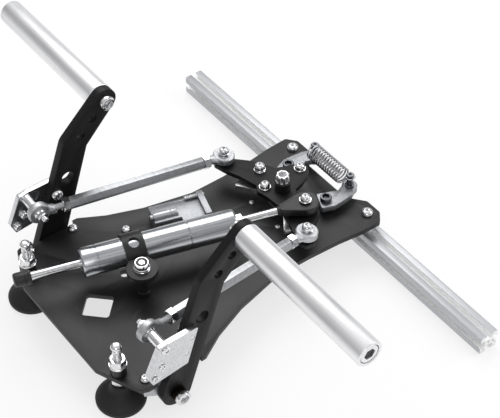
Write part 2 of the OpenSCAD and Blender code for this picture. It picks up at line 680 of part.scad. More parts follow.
module rocker_hub() color([0.15, 0.15, 0.16]) deck_space() translate([0, -rocker_back, 0]) difference() {
    union() {
        translate([0, 0, 5]) cylinder(d = hub_d, h = rocker_z - 5);
        translate([0, 0, rocker_top]) cylinder(d = hub_d - 3, h = collar_h);
    }
    cylinder(d = post_d + 2 * run_gap, h = rocker_top + collar_h + 1);
}

module rocker_screws() color([0.85, 0.85, 0.87]) deck_space() for (i = [0:2])
    translate([plate_screws[i][0], plate_screws[i][1] - rocker_back, 0]) {
        translate([0, 0, rocker_top]) difference() {
            cylinder(d = 11.5, h = i == 0 ? 3 : 1.2);
            translate([0, 0, -1]) cylinder(d = 5 + 2 * bolt_gap, h = 6);
        }
        translate([0, 0, rocker_top + (i == 0 ? 3 : 1.2)])
            dome_screw(10, 5, 5, rocker_t + 3.6 + (i == 0 ? 3 : 1.2));
        translate([0, 0, rocker_z - 3.6]) hex_nut(8, 3.6, 5 + 2 * bolt_gap);
    }

module rocker_rod_bolts() color([0.85, 0.85, 0.87]) deck_space() {
    for (p = [[head_ball[0], head_ball[1], head_ball[2], head_ball_w],
              [-head_ball[0], head_ball[1], head_ball[2], head_ball_w],
              [damper_eye[0], damper_eye[1], damper_z + 0.4, 8]]) {
        top = p[2] + p[3] / 2 + 1.1;
        translate([p[0], p[1], top]) difference() {
            cylinder(d = 10, h = 1.2);
            translate([0, 0, -1]) cylinder(d = eye_bolt_d + 2 * bolt_gap, h = 4);
        }
        translate([p[0], p[1], top + 1.2]) dome_screw(10, 5, eye_bolt_d, top + 1.2 - rocker_z + 4.6);
        translate([p[0], p[1], rocker_z - 4]) hex_nut(8, 4, eye_bolt_d + 2 * bolt_gap);
    }
    for (p = [[head_ball[0], head_ball[1], head_boss_h], [-head_ball[0], head_ball[1], head_boss_h],
              [damper_eye[0], damper_eye[1], damper_z - rocker_top - 5.2]])
        translate([p[0], p[1], rocker_top]) difference() {
            cylinder(d = 8.5, h = p[2]);
            translate([0, 0, -1]) cylinder(d = eye_bolt_d + 2 * bolt_gap, h = 4);
        }
}

module lever() {
    translate([0, 0, lever_z]) linear_extrude(lever_t) difference() {
        rounded(1.5) union() {
            polygon([[16.6, -29.4], [34.5, -37], [39, -24.7], [38.5, -15], [37, -3], [hook_x + 7, hook_y + 1],
                     [hook_x - 6.5, hook_y], [25, -10]]);
            translate([hook_x, hook_y]) circle(r = 7.4);
        }
        translate([lever_x, -lever_back]) circle(d = 6 + 2 * run_gap);
        translate([hook_x, hook_y]) circle(d = 4);
    }
    translate([hook_x, hook_y, lever_z + 1]) cylinder(r = 1.99, h = lever_t);
    translate([hook_x, hook_y, lever_z + lever_t]) difference() {
        union() {
            cylinder(r = post_r, h = spring_z + 3 - lever_z - lever_t);
            translate([0, 0, spring_z + 1.3 - lever_z - lever_t]) cylinder(r = post_r + 0.8, h = 2);
            cylinder(r = post_r + 1.6, h = 2);
        }
        translate([0, 0, spring_z + 2 - lever_z - lever_t]) cylinder(d = 3, h = 3, $fn = 6);
    }
}
module lever_right() color([0.8, 0.81, 0.82]) on_side(1) lever();
module lever_left() color([0.8, 0.81, 0.82]) on_side(-1) lever();

// a tube along a path, its rings carried along without twist
module wire(path, d, n) {
    last = len(path) - 1;
    t = [for (i = [0:last]) unit(path[min(i + 1, last)] - path[max(i - 1, 0)])];
    side = [for (i = 0, v = unit(cross(t[0], [0.1, 0.2, 1])); i <= last; i = i + 1,
            v = i <= last ? unit(v - (v * t[i]) * t[i]) : v) v];
    ring = [for (i = [0:last]) let (a = unit(side[i] - (side[i] * t[i]) * t[i]), b = cross(t[i], a))
            for (k = [0:n - 1]) path[i] + d / 2 * (cos(360 * k / n) * a + sin(360 * k / n) * b)];
    polyhedron(points = ring, faces = concat(
        [[for (k = [0:n - 1]) k]], [[for (k = [n - 1:-1:0]) last * n + k]],
        [for (i = [0:last - 1]) for (k = [0:n - 1])
            [i * n + (k + 1) % n, i * n + k, (i + 1) * n + k, (i + 1) * n + (k + 1) % n]]));
}

// half of the spring's path: from the middle coil out to the hook
turn_pts = 8;
half_n = coils * turn_pts / 2;
function coil_point(i) =
    [coil_half * i / half_n, spring_r * cos(360 * i / turn_pts), spring_r * sin(360 * i / turn_pts)];
hook_pts = [
    [coil_half + 0.9, -spring_r * 0.84, -spring_r * 0.42], [coil_half + 2, -spring_r * 0.52, -spring_r * 0.5],
    [coil_half + 3.1, -spring_r * 0.18, -spring_r * 0.3],
    [coil_half + 4.2, spring_r * 0.06, -spring_r * 0.1]];
hook_ring = [for (a = [-75:20:195]) [hook_x + hook_r * cos(a), spring_side + hook_r * sin(a), 0]];
half_path = concat([for (i = [0:half_n]) coil_point(i)], hook_pts, hook_ring);
spring_path = concat(
    [for (i = [len(half_path) - 1:-1:1]) [-half_path[i][0], half_path[i][1], -half_path[i][2]]], half_path);
path_gap = min([for (i = [0:len(spring_path) - 1]) for (j = [i + 6:1:len(spring_path) - 1])
                norm(spring_path[i] - spring_path[j])]) - wire_d;
echo(spring_gap = path_gap);

module spring() color([0.82, 0.82, 0.84]) deck_space() 
    translate([0, hook_y - spring_side, spring_z]) wire(spring_path, wire_d, 6);

// damper space: y along the damper, from its eye
module damper_space() deck_space() translate([damper_eye[0], damper_eye[1], damper_z])
    rotate(-damper_turn) children();

module along(y0, len, d) translate([0, y0, 0]) rotate([-90, 0, 0]) cylinder(d = d, h = len);

damper_far = damper_near + damper_len;
bore_in = damper_d - 6;
end_wall = 12;

module damper_body() color([0.78, 0.79, 0.81]) damper_space() difference() {
    union() {
        along(-damper_far + 1, damper_len - 1 - gland_len, damper_d);
        along(-damper_far, 1.1, damper_d - 2);
    }
    along(-damper_far - 1, 20, damper_rod_d + 2 * run_gap);
    along(-damper_far + end_wall, damper_len, bore_in);
}

module damper_gland() color([0.7, 0.71, 0.73]) damper_space() difference() {
    union() {
        along(-damper_near - gland_len, gland_len - 1, damper_d);
        along(-damper_near - 1.1, 1.1, damper_d - 2);
        along(-damper_near - gland_len - 5, 5.1, bore_in - 0.02);
        translate([0, -damper_near - 0.1, 0]) rotate([-90, 0, 0]) cylinder(d = 12 / cos(30), h = 7, $fn = 6);
    }
    along(-damper_near - gland_len - 6, gland_len + 14, damper_rod_d + 2 * run_gap);
}

module damper_clamp() color([0.07, 0.07, 0.08]) damper_space() difference() {
    union() {
        along(-clamp_back - clamp_w / 2, clamp_w, damper_d + 5);
        translate([0, -clamp_back, -1]) linear_extrude(5) {
            translate([0, -clamp_w / 2]) square([clamp_reach, clamp_w]);
            translate([clamp_reach, 0]) circle(r = 14);
        }
    }
    along(-clamp_back - clamp_w, 2 * clamp_w, damper_d + 0.02);
    translate([clamp_reach, -clamp_back, -3]) cylinder(d = 6 + 2 * run_gap, h = 9);
    translate([0, -clamp_back, 0]) rotate([0, 20, 0]) cylinder(d = 10, h = damper_d);
}

rod_tail = damper_stop + stop_len / 2 - 2;
module damper_rod() color([0.85, 0.85, 0.87]) damper_space() {
    along(-rod_tail, rod_tail - 28, damper_rod_d);
    along(-28.5, 14.5, eye_shank_d);
    along(-damper_near - damper_len / 2 - 3, 6, bore_in - 2 * run_gap);
}

module damper_eye_end() color([0.07, 0.07, 0.08]) damper_space() {
    difference() {
        union() {
            translate([0, 0, -3.6]) linear_extrude(8) {
                circle(r = 12.5);
                polygon([[-11.2, -5.5], [11.2, -5.5], [4, -25], [-4, -25]]);
            }
            along(-28, 4, 9);
        }
        translate([0, 0, -5]) cylinder(d = 5 + 2 * open_gap, h = 12);
        along(-29, 15.1, eye_shank_d + 0.02);
    }
    difference() {
        union() {
            along(-damper_stop - stop_len / 2, stop_len, stop_d);
            along(-damper_stop + stop_len / 2 - 3, 3, stop_d + 1);
        }
        along(-rod_tail, stop_len, damper_rod_d + 0.02);
    }
}

base_plate();
rail();
rail_spacers();
rail_screws();
slot_nuts();
foot_pads();
foot_studs();
foot_nuts();
pivot_blocks();
block_screws();
arm_bolts();
pivot_bolt();
pivot_nut();
lever_bolts();
waist_screws();
rocker_cam();
damper_pillar();
pillar_nut();
sensor_base();
sensor_body();
sensor_stud();
deck_screws();
arm_right();
arm_left();
arm_bushes_right();
arm_bushes_left();
tube_right();
tube_left();
tube_bolt_right();
tube_bolt_left();
tube_plug_right();
tube_plug_left();
bracket_right();
bracket_left();
bracket_screws_right();
bracket_screws_left();
rod_spacer_right();
rod_spacer_left();
rod_bolt_right();
rod_bolt_left();
ball_right();
ball_left();
push_rod_right();
push_rod_left();
rod_ends_right();
rod_ends_left();
rod_nuts_right();
rod_nuts_left();
rocker_plate();
rocker_hub();
rocker_screws();
rocker_rod_bolts();
lever_right();
lever_left();
spring();
damper_body();
damper_gland();
damper_clamp();
damper_rod();
damper_eye_end();
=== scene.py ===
"""Looks of the rudder pedal set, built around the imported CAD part.

Lengths are millimetres and places are taken from the deck's top, unless a line says metres.
"""

import logging
import math
from collections.abc import Callable
from dataclasses import dataclass, field
from enum import Enum
from functools import cache, wraps

import bpy
from mathutils import Matrix, Vector


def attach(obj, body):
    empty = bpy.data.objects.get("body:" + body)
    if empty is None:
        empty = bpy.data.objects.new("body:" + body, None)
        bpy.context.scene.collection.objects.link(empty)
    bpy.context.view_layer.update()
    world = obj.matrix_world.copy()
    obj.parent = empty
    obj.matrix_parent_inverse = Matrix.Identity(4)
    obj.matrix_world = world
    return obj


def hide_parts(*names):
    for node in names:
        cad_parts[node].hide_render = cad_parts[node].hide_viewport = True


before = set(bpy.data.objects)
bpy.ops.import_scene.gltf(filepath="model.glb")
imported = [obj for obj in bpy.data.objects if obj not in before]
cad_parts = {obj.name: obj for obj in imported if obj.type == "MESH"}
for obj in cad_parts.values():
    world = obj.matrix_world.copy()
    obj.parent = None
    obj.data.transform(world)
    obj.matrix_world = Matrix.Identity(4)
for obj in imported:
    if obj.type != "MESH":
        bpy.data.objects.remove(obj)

log = logging.getLogger("pedals")
MM = 0.001
HEX_LINE = math.cos(math.radians(30))  # a hexagon's flats over its corners
X_AXIS, Y_AXIS, Z_AXIS = Vector((1, 0, 0)), Vector((0, 1, 0)), Vector((0, 0, 1))
Piece, Material = bpy.types.Object, bpy.types.Material
Tree, Node, Socket = bpy.types.NodeTree, bpy.types.Node, bpy.types.NodeSocket
Pair, Triple, Sizes = tuple[float, float], tuple[float, float, float], tuple[float, ...]
Profile = list[Pair]


def linear(hex_value: str) -> Sizes:
    """Turns an sRGB hex colour into linear values.

    Args:
        hex_value: Six hex digits, such as "c8c9cc".

    Returns:
        Red, green, blue and alpha.
    """
    parts = [int(hex_value[i : i + 2], 16) / 255 for i in (0, 2, 4)]
    return (*[p / 12.92 if p <= 0.04045 else ((p + 0.055) / 1.055) ** 2.4 for p in parts], 1.0)


def add_node(tree: Tree, kind: str, values: dict | None = None, links: dict | None = None,
             **settings: object) -> Node:
    """Adds one node with its settings and links.

    Args:
        tree: The node tree.
        kind: The node's type name.
        values: Socket name or index to a plain value.
        links: Socket name or index to the output socket that feeds it.
        **settings: Attributes of the node itself.

    Returns:
        The new node.
    """
    node = tree.nodes.new(kind)
    for key, value in settings.items():
        setattr(node, key, value)
    for key, value in (values or {}).items():
        node.inputs[key].default_value = value
    for key, source in (links or {}).items():
        tree.links.new(source, node.inputs[key])
    return node


def blank_material(name: str) -> tuple[Material, Tree]:
    """Starts a node material with nothing in it and returns it with its tree."""
    material = bpy.data.materials.new(name)
    material.use_nodes = True
    material.node_tree.nodes.clear()
    return material, material.node_tree


def close_surface(tree: Tree, values: dict, links: dict) -> None:
    """Adds the principled shader with its plain values and links, and the output."""
    shader = add_node(tree, "ShaderNodeBsdfPrincipled", values, links)
    add_node(tree, "ShaderNodeOutputMaterial", links={"Surface": shader.outputs[0]})


def stretched_noise(tree: Tree, size_mm: Triple, detail: float = 3.0,
                    turn: Triple = (0.0, 0.0, 0.0)) -> Socket:
    """Noise on object coordinates, stretched for lines.

    Args:
        tree: The node tree.
        size_mm: Size of one line or grain along x, y and z, in millimetres.
        detail: Octaves of the noise.
        turn: Turn of the pattern in radians.

    Returns:
        The noise value's output socket.
    """
    coords = add_node(tree, "ShaderNodeTexCoord")
    turned = add_node(tree, "ShaderNodeMapping", {"Rotation": turn}, {"Vector": coords.outputs["Object"]})
    scale = [1 / (size * MM) for size in size_mm]
    scaled = add_node(tree, "ShaderNodeMapping", {"Scale": scale}, {"Vector": turned.outputs[0]})
    noise = add_node(tree, "ShaderNodeTexNoise", {"Scale": 1.0, "Detail": detail, "Roughness": 0.55},
                     {"Vector": scaled.outputs[0]})
    return noise.outputs["Fac"]


def even_noise(tree: Tree, size_mm: float, detail: float = 3.0) -> Socket:
    """Returns the value of a noise whose grains have that size all ways."""
    return stretched_noise(tree, (size_mm, size_mm, size_mm), detail)


def spread(tree: Tree, source: Socket, low: float, high: float) -> Socket:
    """Maps a noise value's middle range, 0.3 to 0.7, to low and high.

    Args:
        tree: The node tree.
        source: The noise value.
        low: The result at 0.3.
        high: The result at 0.7.

    Returns:
        The mapped value's output socket.
    """
    limits = {"From Min": 0.3, "From Max": 0.7, "To Min": low, "To Max": high}
    return add_node(tree, "ShaderNodeMapRange", limits, {"Value": source}).outputs[0]


def tinted(tree: Tree, source: Socket, dark: str, light: str) -> Socket:
    """Mixes two hex colours by a value.

    Args:
        tree: The node tree.
        source: The mixing value.
        dark: Hex colour at 0.3 and under.
        light: Hex colour at 0.7 and over.

    Returns:
        The colour's output socket.
    """
    ramp = add_node(tree, "ShaderNodeValToRGB", links={"Fac": source})
    for stop, colour, place in zip(ramp.color_ramp.elements, (dark, light), (0.3, 0.7)):
        stop.color, stop.position = linear(colour), place
    return ramp.outputs[0]


def bumped(tree: Tree, height: Socket, depth_mm: float, strength: float = 1.0) -> Socket:
    """Bump from a height value.

    Args:
        tree: The node tree.
        height: Height from 0 to 1.
        depth_mm: Height of the pattern in millimetres.
        strength: Share of the effect.

    Returns:
        The normal's output socket.
    """
    node = add_node(tree, "ShaderNodeBump", {"Strength": strength, "Distance": depth_mm * MM},
                    {"Height": height})
    return node.outputs[0]


@dataclass(frozen=True)
class PowderCoat:
    """Black polyester powder coat, oven cured: satin black, a fine orange peel that breaks up its sheen."""

    name: str = "satin_black_powder_coat"
    dark: str = "0d0d0e"
    light: str = "131314"
    roughness: float = 0.46
    peel_mm: float = 0.9  # real peel is near 0.5 mm, drawn coarser where it has to show
    ior: float = 1.5
    cloud_mm: float = 55.56  # how far apart the sheen comes and goes

    def build(self) -> Material:
        """Returns the node material."""
        material, tree = blank_material(self.name)
        peel = even_noise(tree, self.peel_mm, 2.0)
        cloud = even_noise(tree, self.cloud_mm, 4.0)
        close_surface(tree, {"IOR": self.ior}, {
            "Base Color": tinted(tree, cloud, self.dark, self.light),
            "Roughness": spread(tree, cloud, self.roughness - 0.04, self.roughness + 0.05),
            "Normal": bumped(tree, peel, 0.02, 0.5)})
        return material


@dataclass(frozen=True)
class SatinAluminium:
    """Aluminium, drawn or milled, then clear anodised: pale silver with fine lines along the cut."""

    name: str
    dark: str
    light: str
    roughness: float
    lines_mm: Triple  # real lines are near 0.2 mm apart, drawn as coarse as they need to show
    turn: Triple = (0.0, 0.0, 0.0)
    depth_mm: float = 0.012
    cloud_mm: float = 71.43  # how far apart the sheen comes and goes

    def build(self) -> Material:
        """Returns the node material."""
        material, tree = blank_material(self.name)
        lines = stretched_noise(tree, self.lines_mm, 4.0, self.turn)
        cloud = even_noise(tree, self.cloud_mm)
        close_surface(tree, {"Metallic": 1.0}, {
            "Base Color": tinted(tree, lines, self.dark, self.light),
            "Roughness": spread(tree, cloud, self.roughness - 0.05, self.roughness + 0.06),
            "Normal": bumped(tree, lines, self.depth_mm, 0.6)})
        return material


@dataclass(frozen=True)
class SlottedAluminium:
    """Extruded rail, clear anodised: even grey outer faces; the slots' insides are painted near white and
    matt, a painted highlight.
    """

    name: str = "extruded_anodised_rail"
    outside: str = "bdbec1"
    # the slots' insides: near white, a painted highlight
    inside: str = "fbfbfb"
    roughness: float = 0.48
    half_mm: float = 9.7  # the 20 mm section's outer faces begin here, from its middle line
    middle: Triple = (0.0, 0.155409, 0.01)  # metres
    lines_mm: Triple = (250.0, 1.667, 1.667)  # real die lines are finer, drawn so that they show
    cloud_mm: float = 71.43

    def build(self) -> Material:
        """Returns the node material."""
        material, tree = blank_material(self.name)
        coords = add_node(tree, "ShaderNodeTexCoord")
        centred = add_node(tree, "ShaderNodeVectorMath", {1: self.middle}, {0: coords.outputs["Object"]},
                           operation="SUBTRACT")
        reach = add_node(tree, "ShaderNodeVectorMath", links={0: centred.outputs[0]}, operation="ABSOLUTE")
        axes = add_node(tree, "ShaderNodeSeparateXYZ", links={0: reach.outputs[0]})
        far = add_node(tree, "ShaderNodeMath", links={0: axes.outputs["Y"], 1: axes.outputs["Z"]},
                       operation="MAXIMUM")
        outer = add_node(tree, "ShaderNodeMath", {1: self.half_mm * MM}, {0: far.outputs[0]},
                         operation="GREATER_THAN")
        share = add_node(tree, "ShaderNodeMapRange", {"To Min": 0.2, "To Max": 1.0},
                         {"Value": outer.outputs[0]})
        lines = stretched_noise(tree, self.lines_mm)
        cloud = even_noise(tree, self.cloud_mm)
        close_surface(tree, {}, {
            # painted highlight: the slots' insides take the near white colour, the outer faces the grey
            "Base Color": tinted(tree, outer.outputs[0], self.inside, self.outside),
            "Metallic": share.outputs[0],
            "Roughness": spread(tree, cloud, self.roughness - 0.05, self.roughness + 0.05),
            "Normal": bumped(tree, lines, 0.006, 0.5)})
        return material


@dataclass(frozen=True)
class PlatedSteel:
    """Bright nickel plated steel: nearly a mirror, with faint handling marks that vary the gloss."""

    name: str = "bright_nickel_plate"
    dark: str = "d8d8da"
    light: str = "f2f2f3"
    roughness: float = 0.1
    marks_mm: float = 3.846

    def build(self) -> Material:
        """Returns the node material."""
        material, tree = blank_material(self.name)
        marks = even_noise(tree, self.marks_mm)
        close_surface(tree, {"Metallic": 1.0}, {
            "Base Color": tinted(tree, marks, self.dark, self.light),
            "Roughness": spread(tree, marks, self.roughness - 0.04, self.roughness + 0.08)})
        return material


@dataclass(frozen=True)
class MouldedBlack:
    """Black rubber or nylon from a mould: even and matt with a fine pebble."""

    name: str = "moulded_black_rubber"
    dark: str = "0c0c0d"
    light: str = "131314"
    roughness: float = 0.62
    grain_mm: float = 0.5
    cloud_mm: float = 25.0

    def build(self) -> Material:
        """Returns the node material."""
        material, tree = blank_material(self.name)
        grain = even_noise(tree, self.grain_mm, 2.0)
        cloud = even_noise(tree, self.cloud_mm)
        close_surface(tree, {"IOR": 1.5}, {
            "Base Color": tinted(tree, cloud, self.dark, self.light),
            "Roughness": spread(tree, grain, self.roughness - 0.05, self.roughness + 0.05),
            "Normal": bumped(tree, grain, 0.03, 0.5)})
        return material


class Finish(Enum):
    """The finishes of this object, each with its recipe and the record's usual slot for it."""

    # Plate and clamp: soft sheen on black.
    COAT = (PowderCoat(), "black_coat")
    # Arms and rocker: a deeper black, nearly without sheen.
    FINE_COAT = (PowderCoat("fine_black_powder_coat", "0b0b0c", "111112", 0.5, 0.6, 1.36), "black_coat")
    # Turned posts: black with a faint grey shine along the round.
    OXIDE = (PowderCoat("black_oxide_steel", "111112", "1a1a1b", 0.42, 0.5, 1.4), "black_oxide")
    # Footrests: almost white, with one wide highlight and lines along the tube.
    TUBE = (SatinAluminium("drawn_aluminium_tube", "e6e6e8", "fafafb", 0.42, (200.0, 1.667, 1.667)),
            "anodised")
    # Rail: grey faces with faint lines along it, and slots between them painted light, a painted highlight.
    RAIL = (SlottedAluminium(), "anodised")
    # Rod brackets: clear enough to go dark where they face a black arm.
    SHEET = (SatinAluminium("sawn_aluminium_sheet", "c6c7ca", "dfdfe1", 0.22, (250.0, 1.667, 1.667)),
             "anodised")
    # Blocks and spacers: plain mid grey.
    MILLED = (SatinAluminium("milled_aluminium", "b4b6b9", "c4c5c8", 0.4, (1.429, 1.429, 16.67),
                             depth_mm=0.004), "anodised")
    # Levers and sensor block: flat grey grain with no direction.
    BLASTED = (SatinAluminium("bead_blasted_aluminium", "8d8f92", "b3b5b8", 0.5, (0.909, 0.909, 0.909),
                              depth_mm=0.02), "anodised")
    # Damper: bright and dark bands along the round, broken by turning lines.
    DAMPER = (SatinAluminium("turned_aluminium_cylinder", "9fa2a6", "cfd1d4", 0.24, (2.0, 111.1, 2.0),
                             (0.0, 0.0, math.radians(16.9))), "anodised")
    # Screws, nuts and studs: small bright glints with dark edges.
    PLATED = (PlatedSteel(), "zinc_steel")
    # Centre bolt and cam plate: bright without sharp reflections.
    SATIN = (PlatedSteel("satin_nickel_plate", "d6d6d8", "eeeeef", 0.34), "zinc_steel")
    # Damper rod and balls: hard black and white reflections.
    POLISHED = (PlatedSteel("ground_chromed_rod", "c8c8ca", "e0e0e1", 0.1), "chrome")
    # Push rods: mid grey that changes from flat to flat.
    ROD = (SatinAluminium("grey_anodised_hex_bar", "a4a6a8", "bbbdbf", 0.4, (50.0, 2.5, 2.5)),
           "dark_anodised")
    # Rod ends: light matt grey.
    FORGED = (PlatedSteel("satin_zinc_forging", "b4b6b8", "cacbcd", 0.46), "zinc_steel")
    # Spring: bright coils with dark gaps.
    WIRE = (PlatedSteel("bright_drawn_spring_wire", "a4a4a7", "c6c6c8", 0.16), "spring_wire")
    # Lever bolts and spring posts: dark grey metal.
    STEEL = (PlatedSteel("dark_tempered_steel", "55575a", "6d6f72", 0.25), "black_oxide")
    # Feet: a dull black that swallows the light.
    RUBBER = (MouldedBlack(), "rubber")
    # Collars and eye, and the black ring and socket fill in each tube plug, which are painted shade: black, a
    # little smoother than the feet.
    NYLON = (MouldedBlack("moulded_black_nylon", "131314", "1c1c1d", 0.45, 0.7), "black_plastic")
    # Arm bushes: bronze painted nearly black, a painted shadow behind the bolt.
    BRONZE = (PlatedSteel("dark_bronze_bush_painted_shade", "221e18", "302a22", 0.4), "bronze")

    @property
    def slot(self) -> str:
        """The record's usual material slot for this finish."""
        return self.value[1]


@cache
def material_of(finish: Finish) -> Material:
    """Returns the finish's material, built at its first use."""
    return finish.value[0].build()


class Side(Enum):
    """The two sides of the set, by the sign of x."""

    RIGHT = 1
    LEFT = -1

    @property
    def word(self) -> str:
        """The side's name as the nodes use it."""
        return self.name.lower()


@dataclass(frozen=True)
class Datum:
    """The deck's place in the object's frame."""

    middle_y: float = 155.409
    deck_top: float = 36.5

    def at(self, x: float, y: float, z: float) -> Vector:
        """Returns the point in metres in the object's frame, from deck millimetres."""
        return Vector((x, y + self.middle_y, z + self.deck_top)) * MM

    def frame(self, x: float, y: float, z: float, axis: Vector | None = None,
              near: Vector | None = None) -> Matrix:
        """Gives the matrix that puts a piece made along z at a place of the deck.

        Args:
            x: Sideways place.
            y: Place along the deck.
            z: Height over the deck's top.
            axis: Direction that the piece's z takes.
            near: Direction that the piece's x lies near to.

        Returns:
            The matrix into the object's frame.
        """
        up = (axis or Z_AXIS).normalized()
        hint = near or (X_AXIS if abs(up.x) < 0.9 else Z_AXIS)
        first = (hint - up * hint.dot(up)).normalized()
        turn = Matrix((first, up.cross(first), up)).transposed().to_4x4()
        return Matrix.Translation(self.at(x, y, z)) @ turn


DECK = Datum()


def only(piece: Piece) -> None:
    """Selects one object alone and makes it active."""
    bpy.ops.object.select_all(action="DESELECT")
    piece.select_set(True)
    bpy.context.view_layer.objects.active = piece


def moved(piece: Piece, matrix: Matrix) -> Piece:
    """Moves a piece's mesh, so that its object stays at the origin.

    Args:
        piece: The object.
        matrix: The move.

    Returns:
        The same object.
    """
    piece.data.transform(piece.matrix_basis)
    piece.matrix_basis = Matrix.Identity(4)
    piece.data.transform(matrix)
    if matrix.determinant() < 0:
        piece.data.flip_normals()
    return piece


def placed(piece: Piece, x: float, y: float, z: float, axis: Vector | None = None) -> Piece:
    """Puts a piece made along z at a place of the deck, along an axis, and returns it."""
    return moved(piece, DECK.frame(x, y, z, axis))


def drum(radius: float, z0: float, z1: float, sides: int = 48) -> Piece:
    """Adds a closed cylinder or prism along z.

    Args:
        radius: Radius to the corners.
        z0: Lower end.
        z1: Upper end.
        sides: Number of sides.

    Returns:
        The new object, placed in its mesh.
    """
    bpy.ops.object.select_all(action="DESELECT")
    bpy.ops.mesh.primitive_cylinder_add(vertices=sides, radius=radius * MM, depth=(z1 - z0) * MM,
        location=(0, 0, (z0 + z1) / 2 * MM))
    return moved(bpy.context.active_object, Matrix.Identity(4))


def lathed(profile: Profile, steps: int = 48) -> Piece:
    """Turns a profile about z, by extruding a point along it and spinning the line.

    Args:
        profile: Points of radius and height, from bottom to top or round a ring.
        steps: Steps of the full turn.

    Returns:
        The new object.
    """
    bpy.ops.object.select_all(action="DESELECT")
    bpy.ops.mesh.primitive_plane_add(size=1)
    piece = bpy.context.active_object
    bpy.ops.object.mode_set(mode="EDIT")
    bpy.ops.mesh.select_all(action="SELECT")
    bpy.ops.mesh.merge(type="CENTER")
    bpy.ops.transform.translate(value=(profile[0][0] * MM, 0, profile[0][1] * MM))
    for (r0, z0), (r1, z1) in zip(profile, profile[1:]):
        step = ((r1 - r0) * MM, 0, (z1 - z0) * MM)
        bpy.ops.mesh.extrude_region_move(TRANSFORM_OT_translate={"value": step})
    bpy.ops.mesh.select_all(action="SELECT")
    bpy.ops.mesh.spin(steps=steps, angle=2 * math.pi, center=(0, 0, 0), axis=(0, 0, 1))
    bpy.ops.mesh.select_all(action="SELECT")
    bpy.ops.mesh.remove_doubles(threshold=0.000004)
    bpy.ops.mesh.normals_make_consistent(inside=False)
    bpy.ops.object.mode_set(mode="OBJECT")
    return piece


def combined(piece: Piece, other: Piece, how: str = "DIFFERENCE") -> Piece:
    """Cuts or joins one solid with another and removes the other.

    Args:
        piece: The solid that stays.
        other: The cutter or the added solid.
        how: Blender's word for the boolean.

    Returns:
        The piece.
    """
    only(piece)
    step = piece.modifiers.new("solid", "BOOLEAN")
    step.operation = how
    step.object = other
    step.solver = "EXACT"
    bpy.ops.object.modifier_apply(modifier=step.name)
    bpy.data.objects.remove(other, do_unlink=True)
    return piece


def smooth(piece: Piece, angle: float = 32.0) -> Piece:
    """Shades a piece smooth up to an angle in degrees and returns it."""
    only(piece)
    bpy.ops.object.shade_smooth_by_angle(angle=math.radians(angle))
    return piece


def eased(piece: Piece, width: float, segments: int = 2, angle: float = 30.0) -> Piece:
    """Rounds the sharp edges and shades the rest smooth.

    Args:
        piece: The object.
        width: Width of the rounding.
        segments: Steps of the rounding.
        angle: Least angle of an edge that is rounded, in degrees.

    Returns:
        The piece.
    """
    only(piece)
    step = piece.modifiers.new("ease", "BEVEL")
    step.width = width * MM
    step.segments = segments
    step.limit_method = "ANGLE"
    step.angle_limit = math.radians(angle)
    step.use_clamp_overlap = True
    bpy.ops.object.modifier_apply(modifier=step.name)
    return smooth(piece)


def joined(parts: list[Piece]) -> Piece:
    """Joins several objects into the first and returns it."""
    bpy.ops.object.select_all(action="DESELECT")
    for part in parts:
        part.select_set(True)
    bpy.context.view_layer.objects.active = parts[0]
    bpy.ops.object.join()
    return parts[0]


def from_mesh(name: str, mesh: bpy.types.Mesh) -> Piece:
    """Adds an object with its own copy of a mesh and returns it."""
    piece = bpy.data.objects.new(name, mesh.copy())
    bpy.context.collection.objects.link(piece)
    return piece


def from_node(node: str, width: float, segments: int = 2, angle: float = 30.0) -> Piece:
    """Takes a machined piece's outline from its CAD node, merges it and eases its edges.

    Args:
        node: The CAD node's name.
        width: Width of the rounding.
        segments: Steps of the rounding.
        angle: Least angle of an edge that is rounded, in degrees.

    Returns:
        The new object.
    """
    piece = from_mesh(node + "_copy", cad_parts[node].data)
    piece.data.materials.clear()
    only(piece)
    bpy.ops.object.mode_set(mode="EDIT")
    bpy.ops.mesh.select_all(action="SELECT")
    bpy.ops.mesh.remove_doubles(threshold=0.000002)
    bpy.ops.mesh.dissolve_limited(angle_limit=math.radians(0.6))
    bpy.ops.object.mode_set(mode="OBJECT")
    return eased(piece, width, segments, angle)


def settle(piece: Piece | list[Piece], name: str, body: str, finish: Finish, *nodes: str,
           slot: str = "") -> None:
    """Names a finished piece, gives it its material and ties it to the frame.

    Args:
        piece: The finished object, or its parts, which are joined.
        name: The piece's name.
        body: The CAD body that it rides on.
        finish: Its finish.
        *nodes: CAD nodes that it stands for.
        slot: The record's material slot where it isn't the finish's usual one; not used.
    """
    if isinstance(piece, list):
        piece = joined(piece)
    piece.name = name
    piece.data.materials.clear()
    piece.data.materials.append(material_of(finish))
    for face in piece.data.polygons:
        face.material_index = 0
    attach(piece, body)
    if nodes:
        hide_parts(*nodes)
    log.info("%s: %d faces on %s", name, len(piece.data.polygons), body)


def machined(node: str, name: str, body: str, finish: Finish, *easing: float, slot: str = "") -> None:
    """Settles a piece that keeps its CAD node's outline, with its edges eased.

    Args:
        node: The CAD node that it comes from and stands for.
        name: The piece's name.
        body: The CAD body that it rides on.
        finish: Its finish.
        *easing: Width, steps and least angle of the easing, as in from_node.
        slot: The record's material slot where it isn't the finish's usual one.
    """
    settle(from_node(node, *easing), name, body, finish, node, slot=slot)


def stocked(make: Callable[..., Piece]) -> Callable[..., Piece]:
    """Lets a function model each size once and give copies of it, each with its own mesh.

    Args:
        make: The function that models the part from its sizes.

    Returns:
        The function that gives copies.
    """
    stock: dict[Sizes, bpy.types.Mesh] = {}

    @wraps(make)
    def give(*sizes: float) -> Piece:
        if sizes not in stock:
            first = make(*sizes)
            stock[sizes] = first.data
            bpy.data.objects.remove(first, do_unlink=True)
        return from_mesh(make.__name__, stock[sizes])

    return give


def shank_profile(shank: float, length: float) -> Profile:
    """Returns the profile of a screw's shank up to its head."""
    return [(0, -length), (shank / 2 - 0.4, -length), (shank / 2, -length + 0.4), (shank / 2, 0)]


